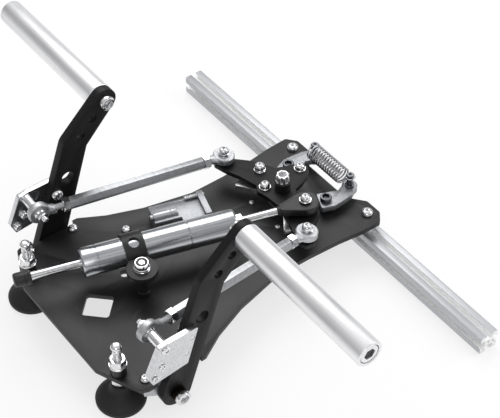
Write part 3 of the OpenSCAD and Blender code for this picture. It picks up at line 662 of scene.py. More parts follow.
@stocked
def dome_screw(d: float, h: float, shank: float, length: float) -> Piece:
    """Gives a button head screw with a hex socket, its head on z = 0.

    Args:
        d: Head diameter.
        h: Head height.
        shank: Shank diameter.
        length: Shank length.

    Returns:
        The screw.
    """
    arc = [(d / 2 * math.cos(a) ** 0.62, h * (0.12 + 0.88 * math.sin(a)))
           for a in (math.radians(9 * i) for i in range(10))]
    screw = lathed([
        *shank_profile(shank, length), (d / 2 - 0.3, 0), (d / 2, 0.12 * h * 0.6), *arc, (0, h)], 40)
    screw = combined(screw, drum(d * 0.2 / HEX_LINE, h * 0.42, h + 2, 6))
    return eased(screw, 0.12, 2, 40)


@stocked
def cap_screw(d: float, h: float, shank: float, length: float, knurls: int = 0,
              groove_r: float = 0.32) -> Piece:
    """Gives a cylinder head screw with a hex socket, its head on z = 0.

    Args:
        d: Head diameter.
        h: Head height.
        shank: Shank diameter.
        length: Shank length.
        knurls: Number of grooves round the head.
        groove_r: Radius of a groove.

    Returns:
        The screw.
    """
    edge = 0.09 * d
    screw = lathed([
        *shank_profile(shank, length), (d / 2 - 0.25, 0), (d / 2, 0.25), (d / 2, h - edge),
        (d / 2 - edge * 0.35, h - edge * 0.35), (d / 2 - edge, h), (0, h)], 48)
    if knurls:
        grooves = []
        for i in range(knurls):
            a = 2 * math.pi * i / knurls
            groove = drum(groove_r, 0.7, h + 1, 16)
            rim = Vector((d / 2 * MM * math.cos(a), d / 2 * MM * math.sin(a), 0))
            grooves.append(moved(groove, Matrix.Translation(rim)))
        screw = combined(screw, joined(grooves))
    screw = combined(screw, drum(d * 0.3 / HEX_LINE, h * 0.35, h + 2, 6))
    return eased(screw, 0.15, 2, 40)


@stocked
def hex_nut(flats: float, h: float, bore: float) -> Piece:
    """Returns a hex nut on z = 0 with its corners turned off at both ends and a countersunk bore."""
    corner, sink = flats / 2 / HEX_LINE, bore / 2 + 0.9
    turned = lathed([
        (0, -0.01), (flats / 2 * 0.97, -0.01), (corner * 1.01, 0.55), (corner * 1.01, h - 0.55),
        (flats / 2 * 0.97, h + 0.01), (0, h + 0.01)], 60)
    nut = combined(drum(corner, 0, h, 6), turned, "INTERSECT")
    hole = lathed([
        (0, -0.5), (sink, -0.5), (bore / 2, 0.5), (bore / 2, h - 0.5), (sink, h + 0.5), (0, h + 0.5)], 40)
    return smooth(combined(nut, hole), 25)


@stocked
def washer(d: float, bore: float, h: float) -> Piece:
    """Returns a flat washer on z = 0 with eased edges."""
    e = min(0.25, h / 3)
    return smooth(lathed([(bore / 2, 0), (d / 2 - e, 0), (d / 2, e), (d / 2, h - e), (d / 2 - e, h),
                          (bore / 2, h), (bore / 2, 0)], 48))


def threaded(d: float, z0: float, z1: float, pitch: float = 1.25) -> Profile:
    """Returns the profile of a threaded stretch, drawn as close rings of that pitch."""
    count = max(2, int((z1 - z0 - 1.2) / pitch))
    teeth: Profile = []
    for i in range(count):
        z = z0 + 0.6 + (z1 - z0 - 1.2) * i / count
        teeth += [(d / 2, z + pitch * 0.1), (d / 2, z + pitch * 0.3), (d / 2 - pitch * 0.42, z + pitch * 0.7)]
    return [(0, z0), (d / 2 - 0.7, z0), *teeth, (d / 2 - 0.7, z1), (0, z1)]


@dataclass
class Deck:
    """Base plate with the diamond window, and its small screws."""

    ease: float = 0.7
    thick: float = 5.0
    spare: tuple[Pair, ...] = ((-62.5, -192.6),)
    spare_screw: Sizes = (9, 3.4, 4, 8)
    under: tuple[Pair, ...] = ((-50.0, -166.0), (-30.0, -133.0))
    under_screw: Sizes = (7, 2.4, 4, 11)

    def build(self) -> None:
        """Builds and dresses the pieces."""
        machined("base_plate", "base_plate_coated", "base", Finish.COAT, self.ease, 3)
        screws = [placed(dome_screw(*self.spare_screw), x, y, 0) for x, y in self.spare]
        screws += [placed(dome_screw(*self.under_screw), x, y, -self.thick, -Z_AXIS) for x, y in self.under]
        settle(screws, "deck_screw_set", "base", Finish.PLATED, "deck_screws")


@dataclass
class Rail:
    """Slotted rail with its spacers, screws and slot nuts."""

    bolt_x: float = 56.5
    gap: float = 11.5
    deck_t: float = 5.0
    spacer: Pair = (14, 6.2)
    screw: Sizes = (11.5, 5, 6, 21.3)

    def build(self) -> None:
        """Builds and dresses the pieces."""
        machined("rail", "slotted_rail", "base", Finish.RAIL, 0.25, 2)
        machined("slot_nuts", "slot_nut_pair", "base", Finish.PLATED, 0.3, 2)
        places = [side.value * self.bolt_x for side in Side]
        spacers = [placed(washer(*self.spacer, self.gap), x, 0, -self.deck_t - self.gap) for x in places]
        settle(spacers, "spacer_pair", "base", Finish.MILLED, "rail_spacers")
        screws = [placed(dome_screw(*self.screw), x, 0, 0) for x in places]
        settle(screws, "rail_screw_pair", "base", Finish.PLATED, "rail_screws")


@dataclass
class Feet:
    """Levelling feet: rubber pad, threaded stud with a domed end, collar and lock nuts."""

    x: float = 73.5
    y: float = -291.0
    stand: float = 36.5
    stud_d: float = 8.0
    stud_up: float = 37.0
    cap_h: float = 8.0
    collar_d: float = 14.0
    collar_h: float = 10.0
    washer_d: float = 16.0
    washer_h: float = 1.5
    nut_flats: float = 13.0
    under_z: float = -11.5
    pad: Profile = field(default_factory=lambda: [
        (0, 0), (20.5, 0), (21.9, 0.5), (22.4, 1.6), (22.45, 4.2), (21.9, 5.4), (20.4, 7.0), (18.2, 9.2),
        (15.6, 11.2), (13.0, 12.9), (10.9, 14.4), (9.3, 16.3), (8.2, 18.6), (7.6, 20.8), (7.0, 21.7),
        (6.2, 22.0), (4.1, 22.0), (4.1, 6.0), (0, 6.0)])

    def build(self) -> None:
        """Builds and dresses the pieces."""
        pads, studs, nuts, collars, caps = [], [], [], [], []
        top, r, bore = self.stud_up, self.stud_d / 2, self.stud_d + 0.3
        for side in Side:
            x = side.value * self.x
            pads.append(placed(smooth(lathed(self.pad, 64), 40), x, self.y, -self.stand))
            stud = lathed(threaded(self.stud_d, -self.stand + 6, top - self.cap_h), 40)
            studs.append(placed(smooth(stud, 50), x, self.y, 0))
            cap = lathed([
                (0, top - self.cap_h), (r - 1.2, top - self.cap_h), (r - 1.2, top - 5.0),
                (r - 0.2, top - 4.8), (r + 1.0, top - 4.0), (r + 1.2, top - 3.0), (r + 0.6, top - 1.8),
                (r - 0.4, top - 0.7), (r - 1.9, top - 0.1), (0, top)], 40)
            caps.append(placed(smooth(cap, 40), x, self.y, 0))
            collars.append(placed(washer(self.collar_d, bore, self.collar_h), x, self.y, 0))
            nuts.append(placed(washer(self.washer_d, bore, self.washer_h), x, self.y, self.collar_h))
            turn = DECK.frame(x, self.y, self.collar_h + self.washer_h,
                              near=Vector((math.cos(0.3), math.sin(0.3), 0)))
            nuts.append(moved(hex_nut(self.nut_flats, 7, self.stud_d + 0.1), turn))
            nuts.append(placed(hex_nut(self.nut_flats, 6.5, self.stud_d + 0.1), x, self.y, self.under_z))
        settle(collars, "foot_collar_pair", "base", Finish.NYLON)
        settle(pads, "foot_pad_pair", "base", Finish.RUBBER, "foot_pads")
        settle(studs, "foot_stud_pair", "base", Finish.PLATED, "foot_studs")
        settle(caps, "foot_stud_heads", "base", Finish.PLATED)
        settle(nuts, "foot_nut_set", "base", Finish.PLATED, "foot_nuts")


@dataclass
class Hinges:
    """Blocks under the deck that carry the arms, with their screws and pivot bolts."""

    y: float = -255.0
    z: float = -19.5
    arm_in: float = 100.0
    arm_t: float = 8.0
    lip: float = 0.5
    boss: float = 6.0
    block_x: float = 93.5
    screw: Sizes = (9.5, 4, 5, 11)
    screw_y: Pair = (-231.2, -277.4)
    bolt: Triple = (14, 5, 8)

    def build(self) -> None:
        """Builds and dresses the pieces."""
        machined("pivot_blocks", "pivot_block_pair", "base", Finish.MILLED, 0.5, 2)
        screws, bolts = [], []
        for side in Side:
            screws += [placed(dome_screw(*self.screw), side.value * self.block_x, y, 0) for y in self.screw_y]
            outer = side.value * (self.arm_in + self.arm_t + self.boss)
            bolt = cap_screw(*self.bolt, self.arm_t + self.lip + self.boss + 12)
            bolts.append(placed(bolt, outer, self.y, self.z, side.value * X_AXIS))
        settle(screws, "block_screw_set", "base", Finish.PLATED, "block_screws")
        settle(bolts, "arm_bolt_pair", "base", Finish.PLATED, "arm_bolts")


@dataclass
class RodEnd:
    """Ball rod end: ring, forged neck and threaded shank along x, eye along z."""

    ring_d: float = 21.0
    ring_w: float = 7.0
    ball_d: float = 12.7
    gap: float = 0.05
    shank_d: float = 6.0
    shank_in: float = 14.0

    def ball(self, width: float, bore: float) -> Piece:
        """Turns the ball with its flats and bore.

        Args:
            width: Width over the flats.
            bore: Bore diameter.

        Returns:
            The ball, along z.
        """
        radius, half = self.ball_d / 2, width / 2
        limit = math.asin(half / radius)
        arc = [(radius * math.cos(limit * i / 8), radius * math.sin(limit * i / 8)) for i in range(-8, 9)]
        return smooth(lathed([(bore / 2, -half), *arc, (bore / 2, half), (bore / 2, -half)], 64), 30)

    def build(self, neck: float) -> Piece:
        """Models the ring with its race, neck and shank.

        Args:
            neck: Distance from the eye to the hex rod.

        Returns:
            The rod end without its ball.
        """
        outer, half, race = self.ring_d / 2, self.ring_w / 2, self.ball_d / 2 + self.gap
        limit = math.radians(33)
        arc = [(race * math.cos(limit * i / 6), race * math.sin(limit * i / 6)) for i in range(6, -7, -1)]
        lip = race * math.cos(limit)
        face = [(lip + 0.35, half), (lip + 1.1, half), (lip + 1.3, half - 0.35), (lip + 1.6, half - 0.35),
                (lip + 1.8, half), (outer - 1.1, half), (outer - 0.25, half - 0.7), (outer, half - 1.7)]
        ring = lathed([*[(r, -z) for r, z in face], *face[::-1], *arc, (lip + 0.35, -half)], 72)
        shank = lathed(threaded(self.shank_d, outer - 0.4, neck + self.shank_in - 0.5, 1.0), 32)
        root, tip = 8.0, 15.2
        throat = lathed([
            (0, root), (6.6, root), (5.6, 10.2), (4.7, 12.2), (4.1, 13.8), (3.9, 14.9), (3.3, tip), (0, tip)],
            48)
        lie = Matrix.Rotation(math.pi / 2, 4, "Y")
        throat = moved(throat, lie)
        for vertex in throat.data.vertices:  # the neck is half as thick at the ring
            vertex.co.z *= 0.5 + 0.5 * min(1.0, (vertex.co.x / MM - root) / 6.0)
        return joined([smooth(ring, 28), moved(smooth(shank, 50), lie), smooth(throat, 40)])


@dataclass
class Pedal:
    """One arm with its footrest tube, bracket and the lower rod joint's bolt."""

    side: Side
    arm_in: float = 100.0
    arm_t: float = 8.0
    pivot: Pair = (-255.0, -19.5)
    top: Pair = (-181.3, 126.6)
    tube_len: float = 154.0
    tube_d: float = 24.0
    bore_d: float = 18.0
    tube_bolt: Triple = (14, 6, 8)
    plate_t: float = 5.0
    ball: Triple = (86.3, -267.0, 49.5)
    ball_w: float = 9.6
    spacer_d: float = 10.0
    joint_d: float = 5.2
    tail_len: float = 8.5
    arm_screw: Triple = (11, 4.5, 4)
    arm_screws: tuple[Pair, ...] = ((15.0, 65.3), (8.4, 50.0))
    free_screw: Triple = (7.5, 3, 4)
    free_screws: tuple[Pair, ...] = ((-16.5, 50.9), (-24.3, 40.7))

    @property
    def body(self) -> str:
        """The CAD body of this pedal."""
        return "arm_" + self.side.word

    def across(self, piece: Piece, x: float, y: float, z: float, way: int = 1) -> Piece:
        """Puts a piece made along z so that it points sideways.

        Args:
            piece: The object.
            x: Distance from the middle plane.
            y: Place along the deck.
            z: Height over the deck.
            way: 1 away from the middle, or -1 towards it.

        Returns:
            The same object.
        """
        sign = self.side.value
        return placed(piece, sign * x, y, z, sign * way * X_AXIS)

    def build(self) -> None:
        """Builds and dresses the pieces."""
        word = self.side.word
        for node, name, finish, easing in (("arm", "bent_arm", Finish.FINE_COAT, (0.8, 3, 25)),
                                           ("arm_bushes", "flanged_bush", Finish.BRONZE, (0.15, 1)),
                                           ("bracket", "rod_bracket", Finish.SHEET, (0.35, 2))):
            node = f"{node}_{word}"
            machined(node, f"{name}_{word}", self.body, finish, *easing)
        self.build_footrest(word)
        self.build_rod_joint(word)

    def build_footrest(self, word: str) -> None:
        """Builds the tube, its end plug and the bolt through the arm, on the side of that name."""
        length, outer, wall, start = self.tube_len, self.tube_d / 2, self.bore_d / 2, self.arm_in + self.arm_t
        tube = lathed([
            (4.1, 0), (outer - 0.6, 0), (outer, 0.6), (outer, length - 1.0), (outer - 0.35, length - 0.3),
            (outer - 1.0, length), (wall + 0.5, length), (wall, length - 0.5), (wall, 22), (4.1, 22),
            (4.1, 0)], 96)
        settle(self.across(smooth(tube, 35), start, *self.top), f"footrest_tube_{word}", self.body,
            Finish.TUBE, f"tube_{word}")
        plug = lathed([
            (0, -12), (wall - 0.1, -12), (wall - 0.01, -11.6), (wall - 0.01, -2.4), (8.45, -2.3),
            (8.45, -0.9), (8.1, -0.5), (0, -0.5)], 72)
        plug = smooth(combined(plug, drum(4.7 / HEX_LINE, -8, 2, 6)), 28)
        settle(self.across(plug, start + length, *self.top), f"tube_plug_{word}_hex", self.body, Finish.TUBE,
            f"tube_plug_{word}")
        # Painted shade: a black ring in the plug's groove for the shadow gap round the plug, and a black hex
        # filling its socket.
        shade_ring = lathed([(8.5, -2.2), (8.9, -2.2), (8.9, -1.5), (8.5, -1.5), (8.5, -2.2)], 72)
        socket_shade = eased(drum(4.65 / HEX_LINE, -7.9, -1.7, 6), 0.2, 2)
        settle(self.across(joined([smooth(shade_ring), socket_shade]), start + length, *self.top), f"tube_seal_{word}",
            self.body, Finish.NYLON)
        bolt = cap_screw(*self.tube_bolt, self.arm_t + 18)
        settle(self.across(bolt, self.arm_in, *self.top, -1), f"tube_bolt_{word}_cap", self.body,
            Finish.PLATED, f"tube_bolt_{word}")

    def build_rod_joint(self, word: str) -> None:
        """Builds the bracket's screws and the rod joint's spacer, bolt and ball, on the side of that name."""
        (py, pz), outer = self.pivot, self.arm_in + self.arm_t
        parts = []
        for y, z in self.arm_screws:
            screw = dome_screw(*self.arm_screw, self.plate_t + self.arm_t - 0.4)
            parts.append(self.across(screw, self.arm_in, py + y, pz + z, -1))
        for y, z in self.free_screws:
            screw = dome_screw(*self.free_screw, self.plate_t + 0.3)
            parts.append(self.across(screw, outer, py + y, pz + z, -1))
            parts.append(self.across(washer(6.4, 4.1, 1.2), outer + self.plate_t, py + y, pz + z))
        settle(parts, f"bracket_screw_set_{word}", self.body, Finish.PLATED, f"bracket_screws_{word}")
        x, y, z = self.ball
        half, face = self.ball_w / 2, outer + self.plate_t
        spacer = washer(self.spacer_d, self.joint_d, outer - (x + half))
        settle(self.across(spacer, x + half, y, z), f"rod_spacer_{word}_turned", self.body, Finish.PLATED,
            f"rod_spacer_{word}")
        reach = face - x + half + self.tail_len
        tail = smooth(lathed(threaded(5, -reach, -reach + self.tail_len, 0.8), 32), 50)
        bolt = joined([self.across(dome_screw(9, 1.8, 5, reach - 6), face, y, z),
                       self.across(tail, face, y, z), self.across(hex_nut(8, 4, 5.1), x - half, y, z, -1)])
        settle(bolt, f"rod_joint_bolt_{word}", self.body, Finish.PLATED, f"rod_bolt_{word}")
        ball = RodEnd().ball(self.ball_w, self.joint_d)
        settle(self.across(ball, x, y, z), f"joint_ball_{word}", self.body, Finish.POLISHED, f"ball_{word}")


@dataclass
class PushRod:
    """Hex push rod with a rod end and lock nut at each end."""

    side: Side
    foot: Triple = (86.3, -267.0, 49.5)
    head: Triple = (63.0, -79.0, 28.8)
    flats: float = 10.5
    foot_neck: float = 29.5
    head_neck: float = 23.0
    nut: Triple = (12.0, 6.5, 6.1)
    upper_ball: Pair = (7.6, 7.8)

    def build(self) -> None:
        """Builds and dresses the pieces."""
        sign, word = self.side.value, self.side.word
        foot, head = (Vector((sign * x, y, z)) for x, y, z in (self.foot, self.head))
        line, body = (head - foot).normalized(), "rod_" + word
        start, end, half = self.foot_neck, (head - foot).length - self.head_neck, self.flats / 2
        bar = drum(half / HEX_LINE, start, end, 6)
        for mouth in (start, end):
            bar = combined(bar, drum(3.1, mouth - 15, mouth + 15, 32))
        turned = lathed([
            (0, start - 0.01), (half * 0.94, start - 0.01), (half * 1.17, start + 0.9),
            (half * 1.17, end - 0.9), (half * 0.94, end + 0.01), (0, end + 0.01)], 72)
        bar = eased(combined(bar, turned, "INTERSECT"), 0.3, 2, 40)
        at_foot = DECK.frame(*foot, axis=line, near=-Z_AXIS)
        at_head = DECK.frame(*head, axis=-line, near=Z_AXIS)
        settle(moved(bar, at_foot), f"hex_rod_{word}", body, Finish.ROD, f"push_rod_{word}")
        lower = moved(RodEnd().build(self.foot_neck), self.aimed(foot, line, X_AXIS))
        upper = moved(RodEnd().build(self.head_neck), self.aimed(head, -line, Z_AXIS))
        ball = moved(RodEnd().ball(*self.upper_ball), self.aimed(head, -line, Z_AXIS))
        settle([lower, upper], f"rod_end_pair_{word}", body, Finish.FORGED, f"rod_ends_{word}")
        settle(ball, f"upper_ball_{word}", body, Finish.POLISHED, slot="zinc_steel")
        nuts = []
        for place, neck in ((at_foot, self.foot_neck), (at_head, self.head_neck)):
            lift = Matrix.Translation(Z_AXIS * (neck - self.nut[1] - 0.1) * MM)
            nuts.append(moved(hex_nut(*self.nut), place @ lift))
        settle(nuts, f"lock_nut_pair_{word}", body, Finish.PLATED, f"rod_nuts_{word}")

    @staticmethod
    def aimed(place: Vector, along: Vector, near: Vector) -> Matrix:
        """Places a rod end: its x along the rod and its eye's axis near a direction.

        Args:
            place: The eye's centre in deck millimetres.
            along: Direction of the rod, away from the eye.
            near: Direction that the eye's axis lies near to.

        Returns:
            The matrix into the object's frame.
        """
        eye = (near - along * near.dot(along)).normalized()
        turn = Matrix((along, eye.cross(along), eye)).transposed().to_4x4()
        return Matrix.Translation(DECK.at(*place)) @ turn


@dataclass
class Rocker:
    """Rocker plate on its centre bolt, with its screws and the rod joints' bolts."""

    pivot: Pair = (0.0, -57.4)
    under: float = 18.0
    top: float = 22.8
    hub_d: float = 18.0
    bore_d: float = 8.1
    collar_h: float = 10.5
    screws: tuple[Triple, ...] = ((-32.7, -1.6, 3.0), (-11.5, -11.8, 1.2), (-11.4, 29.9, 1.2))  # x, y, lift
    washer_h: float = 1.2
    heads: tuple[Triple, ...] = ((63.0, -79.0, 28.8), (-63.0, -79.0, 28.8))
    eye: Triple = (34.5, -58.0, 30.4)
    head_w: float = 7.6
    eye_w: float = 8.0

    def build(self) -> None:
        """Builds and dresses the pieces."""
        machined("rocker_plate", "rocker_plate_coated", "rocker", Finish.FINE_COAT, 0.6, 3)
        bore, hub = self.bore_d / 2, self.hub_d / 2
        lower = lathed([
            (bore, 5), (hub - 0.5, 5), (hub, 5.5), (hub, 17.6), (hub - 0.4, 18), (bore, 18), (bore, 5)], 64)
        r, z0, z1 = hub - 1.5, self.top, self.top + self.collar_h
        upper = lathed([
            (bore, z0), (r - 0.3, z0), (r, z0 + 0.3), (r, z0 + 2.6), (r - 0.5, z0 + 2.8), (r - 0.5, z0 + 3.3),
            (r, z0 + 3.5), (r, z1 - 0.8), (r - 0.8, z1), (bore, z1), (bore, z0)], 64)
        hubs = [placed(smooth(part), *self.pivot, 0) for part in (lower, upper)]
        settle(hubs, "rocker_hub_turned", "rocker", Finish.OXIDE, "rocker_hub")
        machined("rocker_cam", "rocker_cam_milled", "rocker", Finish.SATIN, 0.5, 2, slot="anodised")
        self.build_screws()
        self.build_centre()

    def build_screws(self) -> None:
        """Builds the plate's screws and the bolts of the three rod joints."""
        px, py = self.pivot
        parts = []
        for x, y, lift in self.screws:
            place, count = (px + x, py + y), round(lift / self.washer_h)
            parts += [placed(washer(11.5 - 0.9 * i, 5.2, lift / count), *place,
                             self.top + lift / count * i) for i in range(count)]
            parts.append(placed(dome_screw(10, 5, 5, 8.4 + lift), *place, self.top + lift))
            parts.append(placed(hex_nut(8, 3.6, 5.1), *place, self.under - 3.6))
        settle(parts, "rocker_screw_set", "rocker", Finish.PLATED, "rocker_screws")
        parts = []
        for (x, y, z), width, wide in (*((head, self.head_w, 10) for head in self.heads),
                                       (self.eye, self.eye_w, 11.6)):
            top = z + width / 2 + 1.1
            seat = top + self.washer_h
            parts.append(placed(washer(wide, 5.2, self.washer_h), x, y, top))
            parts.append(placed(dome_screw(9.9, 5, 5, seat - self.under + 4.6), x, y, seat))
            parts.append(placed(hex_nut(8, 4, 5.1), x, y, self.under - 4))
        for (x, y, _), height in zip((*self.heads, self.eye), (0.3, 0.3, 2.0)):
            parts.append(placed(washer(8.5, 5.2, height), x, y, self.top))
        settle(parts, "rod_head_bolt_set", "rocker", Finish.PLATED, "rocker_rod_bolts")

    def build_centre(self) -> None:
        """Builds the fixed centre bolt with its nut."""
        height = self.top + self.collar_h
        bolt = placed(cap_screw(13, 8, 8, height + 11.4, 8, 1.5), *self.pivot, height)
        foot = placed(washer(14, 8.2, 5), *self.pivot, 0)
        settle([bolt, foot], "rocker_centre_bolt", "base", Finish.SATIN, "pivot_bolt")
        nut = placed(hex_nut(13, 6.5, 8.1), *self.pivot, -11.5)
        settle(nut, "rocker_centre_nut", "base", Finish.PLATED, "pivot_nut")


@dataclass
class Centring:
    """Levers, their bolts and posts, the coil spring that pulls them together and two small deck screws."""

    lever_x: float = 28.4
    lever_y: float = -27.7
    hook_x: float = 26.3
    hook_y: float = 3.0
    spring_z: float = 23.2
    spring_side: float = 5.0
    spring_r: float = 7.6
    wire: float = 1.8
    coils: int = 13
    hook_r: float = 4.2
    lever_top: float = 12.0
    bolt: Sizes = (11, 5.5, 6, 21)
    standoff: Triple = (11, 6.2, 6)
    waist: Pair = (20.0, -78.5)
    waist_screw: Sizes = (5.4, 2.8, 3, 7)

    def build(self) -> None:
        """Builds and dresses the pieces."""
        bolts, screws = [], []
        for side in Side:
            sign, node = side.value, f"lever_{side.word}"
            at_post = (sign * self.hook_x, self.hook_y, 0)
            lever = combined(from_node(node, 0.4, 2), placed(drum(5.4, self.lever_top, 30), *at_post))
            settle(smooth(lever), f"centring_{node}", node, Finish.BLASTED, node)
            settle(placed(self.post(), *at_post), f"spring_post_{side.word}", node, Finish.STEEL,
                slot="zinc_steel")
            at_bolt = (sign * self.lever_x, self.lever_y)
            bolts.append(placed(cap_screw(*self.bolt), *at_bolt, self.lever_top))
            bolts.append(placed(washer(*self.standoff), *at_bolt, 0))
            screws.append(placed(dome_screw(*self.waist_screw), sign * self.waist[0], self.waist[1], 0))
        settle(bolts, "lever_bolt_pair", "base", Finish.STEEL, "lever_bolts")
        settle(screws, "waist_screw_pair", "base", Finish.PLATED, "waist_screws")
        settle(self.coil(), "centring_spring", "spring", Finish.WIRE, "spring")

    def post(self) -> Piece:
        """Turns a spring post with its collar, flanged head and socket."""
        base, top = self.lever_top, self.spring_z + 3.3
        post = lathed([
            (0, base + 0.01), (4.3, base + 0.01), (4.6, base + 0.3), (4.6, base + 1.6), (4.2, base + 2),
            (3, base + 2.1), (3, top - 2.0), (3.6, top - 1.9), (3.8, top - 1.6), (3.8, top - 0.6), (3.2, top),
            (0, top)], 40)
        return smooth(combined(post, drum(1.73, top - 1.3, top + 2, 6)), 30)

    def half_path(self) -> list[Vector]:
        """Returns the spring's centre line from its middle to one hook, about its axis."""
        reach, r, steps = self.hook_x - self.hook_r - 0.3, self.spring_r, 16
        total = steps * self.coils / 2
        points = [Vector((reach * i / total, r * math.cos(2 * math.pi * i / steps),
                          r * math.sin(2 * math.pi * i / steps))) for i in range(int(total) + 1)]
        points += [Vector((reach + along, r * side, -r * up)) for along, side, up in (
            (0.9, -0.84, 0.42), (2.0, -0.52, 0.5), (3.1, -0.18, 0.3), (4.2, 0.06, 0.1))]
        return points + [Vector((self.hook_x + self.hook_r * math.cos(math.radians(a)),
                                 self.spring_side + self.hook_r * math.sin(math.radians(a)), 0))
                         for a in range(-75, 196, 18)]

    def coil(self) -> Piece:
        """Models the spring as one round wire along its path."""
        half = self.half_path()
        path = [Vector((-p.x, p.y, -p.z)) for p in reversed(half[1:])] + half
        curve = bpy.data.curves.new("spring_path", "CURVE")
        curve.dimensions = "3D"
        curve.resolution_u = 3
        line = curve.splines.new("BEZIER")
        line.bezier_points.add(len(path) - 1)
        for point, place in zip(line.bezier_points, path):
            point.co = DECK.at(place.x, place.y + self.hook_y - self.spring_side, place.z + self.spring_z)
            point.handle_left_type = point.handle_right_type = "AUTO"
        curve.bevel_depth = self.wire / 2 * MM
        curve.bevel_resolution = 4
        curve.use_fill_caps = True
        piece = bpy.data.objects.new("spring_wire", curve)
        bpy.context.collection.objects.link(piece)
        only(piece)
        bpy.ops.object.convert(target="MESH")
        return smooth(bpy.context.active_object, 50)


@dataclass
class Damper:
    """Hydraulic damper: cylinder, gland, through rod, end stop, clamp, pillar and eye."""

    eye: Triple = (34.5, -58.0, 30.0)
    turn: float = 16.9
    near: float = 68.5
    length: float = 145.0
    d: float = 27.0
    gland: float = 45.0
    wall: float = 12.0
    rod_d: float = 8.0
    stop: float = 266.0
    clamp: float = 165.0
    reach: float = 28.0
    eye_low: float = -3.6
    eye_high: float = 4.4
    nut: Pair = (12, 7)

    def line(self) -> Matrix:
        """Returns the matrix of a piece made along z towards the heel, from the eye."""
        away = -Vector((math.sin(math.radians(self.turn)), math.cos(math.radians(self.turn)), 0))
        return DECK.frame(*self.eye, axis=away, near=Z_AXIS)

    def pillar(self) -> Pair:
        """Returns the pillar's place on the deck."""
        a = math.radians(self.turn)
        return (self.eye[0] - math.sin(a) * self.clamp + math.cos(a) * self.reach,
                self.eye[1] - math.cos(a) * self.clamp - math.sin(a) * self.reach)

    def build(self) -> None:
        """Builds and dresses the pieces."""
        far, r, hole, inner = self.near + self.length, self.d / 2, self.rod_d / 2 + 0.05, self.d / 2 - 3
        seam = self.near + self.gland
        body = lathed([
            (inner, seam), (r - 0.5, seam), (r - 0.45, seam + 0.3), (r, seam + 0.7), (r, far - 15.6),
            (r - 0.45, far - 15.2), (r - 0.45, far - 14.4), (r, far - 14.0), (r, far - 2.2),
            (r - 0.3, far - 1.2), (r - 1.2, far - 0.3), (r - 2.4, far), (hole + 3.4, far),
            (hole + 3.2, far - 0.6), (hole + 2.0, far - 0.6), (hole + 1.8, far), (hole, far),
            (hole, far - self.wall), (inner, far - self.wall), (inner, seam)], 96)
        settle(moved(smooth(body, 30), self.line()), "damper_cylinder", "damper_tube", Finish.DAMPER,
            "damper_body")
        a, b = self.near, seam
        front = lathed([
            (hole, a), (hole + 2.4, a), (hole + 2.6, a + 0.5), (r - 3.4, a + 0.5), (r - 3.2, a), (r - 2.0, a),
            (r - 0.9, a + 0.4), (r - 0.2, a + 1.4), (r, a + 2.2), (r, b - 0.7), (r - 0.45, b - 0.3),
            (r - 0.5, b - 0.05), (inner - 0.01, b - 0.05), (inner - 0.01, b + 4.9), (hole, b + 4.9),
            (hole, a)], 96)
        lift = Matrix.Translation(Z_AXIS * (a - self.nut[1] + 0.1) * MM)
        nut = moved(hex_nut(*self.nut, self.rod_d + 0.2), self.line() @ lift)
        settle(moved(smooth(front, 30), self.line()), "damper_front_turned", "damper_tube", Finish.DAMPER,
            "damper_gland")
        settle(nut, "damper_gland_nut", "damper_tube", Finish.PLATED)
        self.build_rod(inner)
        self.build_clamp()

    def build_rod(self, inner: float) -> None:
        """Builds the through rod with its piston in a chamber of that radius, the end stop and the eye."""
        rod, tail, mid = self.rod_d / 2, self.stop + 5.7, self.near + self.length / 2
        shaft = lathed([
            (0, 14), (2.95, 14), (2.95, 28), (rod - 0.3, 28), (rod, 28.3), (rod, mid - 3),
            (inner - 0.4, mid - 3), (inner - 0.05, mid - 2.6), (inner - 0.05, mid + 2.6),
            (inner - 0.4, mid + 3), (rod, mid + 3), (rod, tail), (0, tail)], 48)
        settle(moved(smooth(shaft, 40), self.line()), "damper_through_rod", "damper_shaft", Finish.POLISHED,
            "damper_rod")
        s = self.stop
        stop = lathed([
            (0, s - 7.6), (4.02, s - 7.6), (4.02, s - 7.75), (6.7, s - 7.75), (7.0, s - 7.4), (7.0, s - 5.4),
            (6.5, s - 4.8), (6.5, s - 3.0), (6.1, s - 2.7), (6.1, s - 1.9), (6.5, s - 1.6), (6.5, s + 5.4),
            (6.1, s + 6.8), (5.2, s + 7.6), (0, s + 7.75)], 64)
        stop = moved(smooth(stop, 30), self.line())
        settle([self.eye_block(), stop], "damper_eye_and_stop", "damper_shaft", Finish.NYLON,
            "damper_eye_end")

    def eye_block(self) -> Piece:
        """Models the drop-shaped eye: a round head drawn out to the rod's socket."""
        low, high = self.eye_low, self.eye_high
        head = lathed([
            (3.9, low), (11.4, low), (12.2, -3.0), (12.5, -2.0), (12.5, 2.8), (12.2, 3.8), (11.4, high),
            (3.9, high), (3.9, low)], 72)
        bpy.ops.object.select_all(action="DESELECT")
        bpy.ops.mesh.primitive_cube_add(size=1, location=(0, -15.25 * MM, 0.4 * MM))
        neck = moved(bpy.context.active_object, Matrix.Identity(4))
        for vertex in neck.data.vertices:
            wide = vertex.co.y > -15 * MM
            vertex.co = Vector(((11.2 if wide else 4.0) * math.copysign(MM, vertex.co.x),
                                (-5.5 if wide else -25.0) * MM, (high if vertex.co.z > 0 else low) * MM))
        neck = combined(eased(neck, 0.9, 3, 60), drum(3.9, -6, 6, 32))
        sleeve = lathed([
            (2.98, -28), (4.1, -28), (4.5, -27.6), (4.5, -24), (4.3, -23), (2.98, -23), (2.98, -28)], 40)
        sleeve = self.flipped(moved(sleeve, Matrix.Rotation(-math.pi / 2, 4, "X")))
        block = combined(combined(smooth(head), neck, "UNION"), sleeve, "UNION")
        turn = Matrix.Rotation(-math.radians(self.turn), 4, "Z")
        return moved(smooth(block, 30), Matrix.Translation(DECK.at(*self.eye)) @ turn)

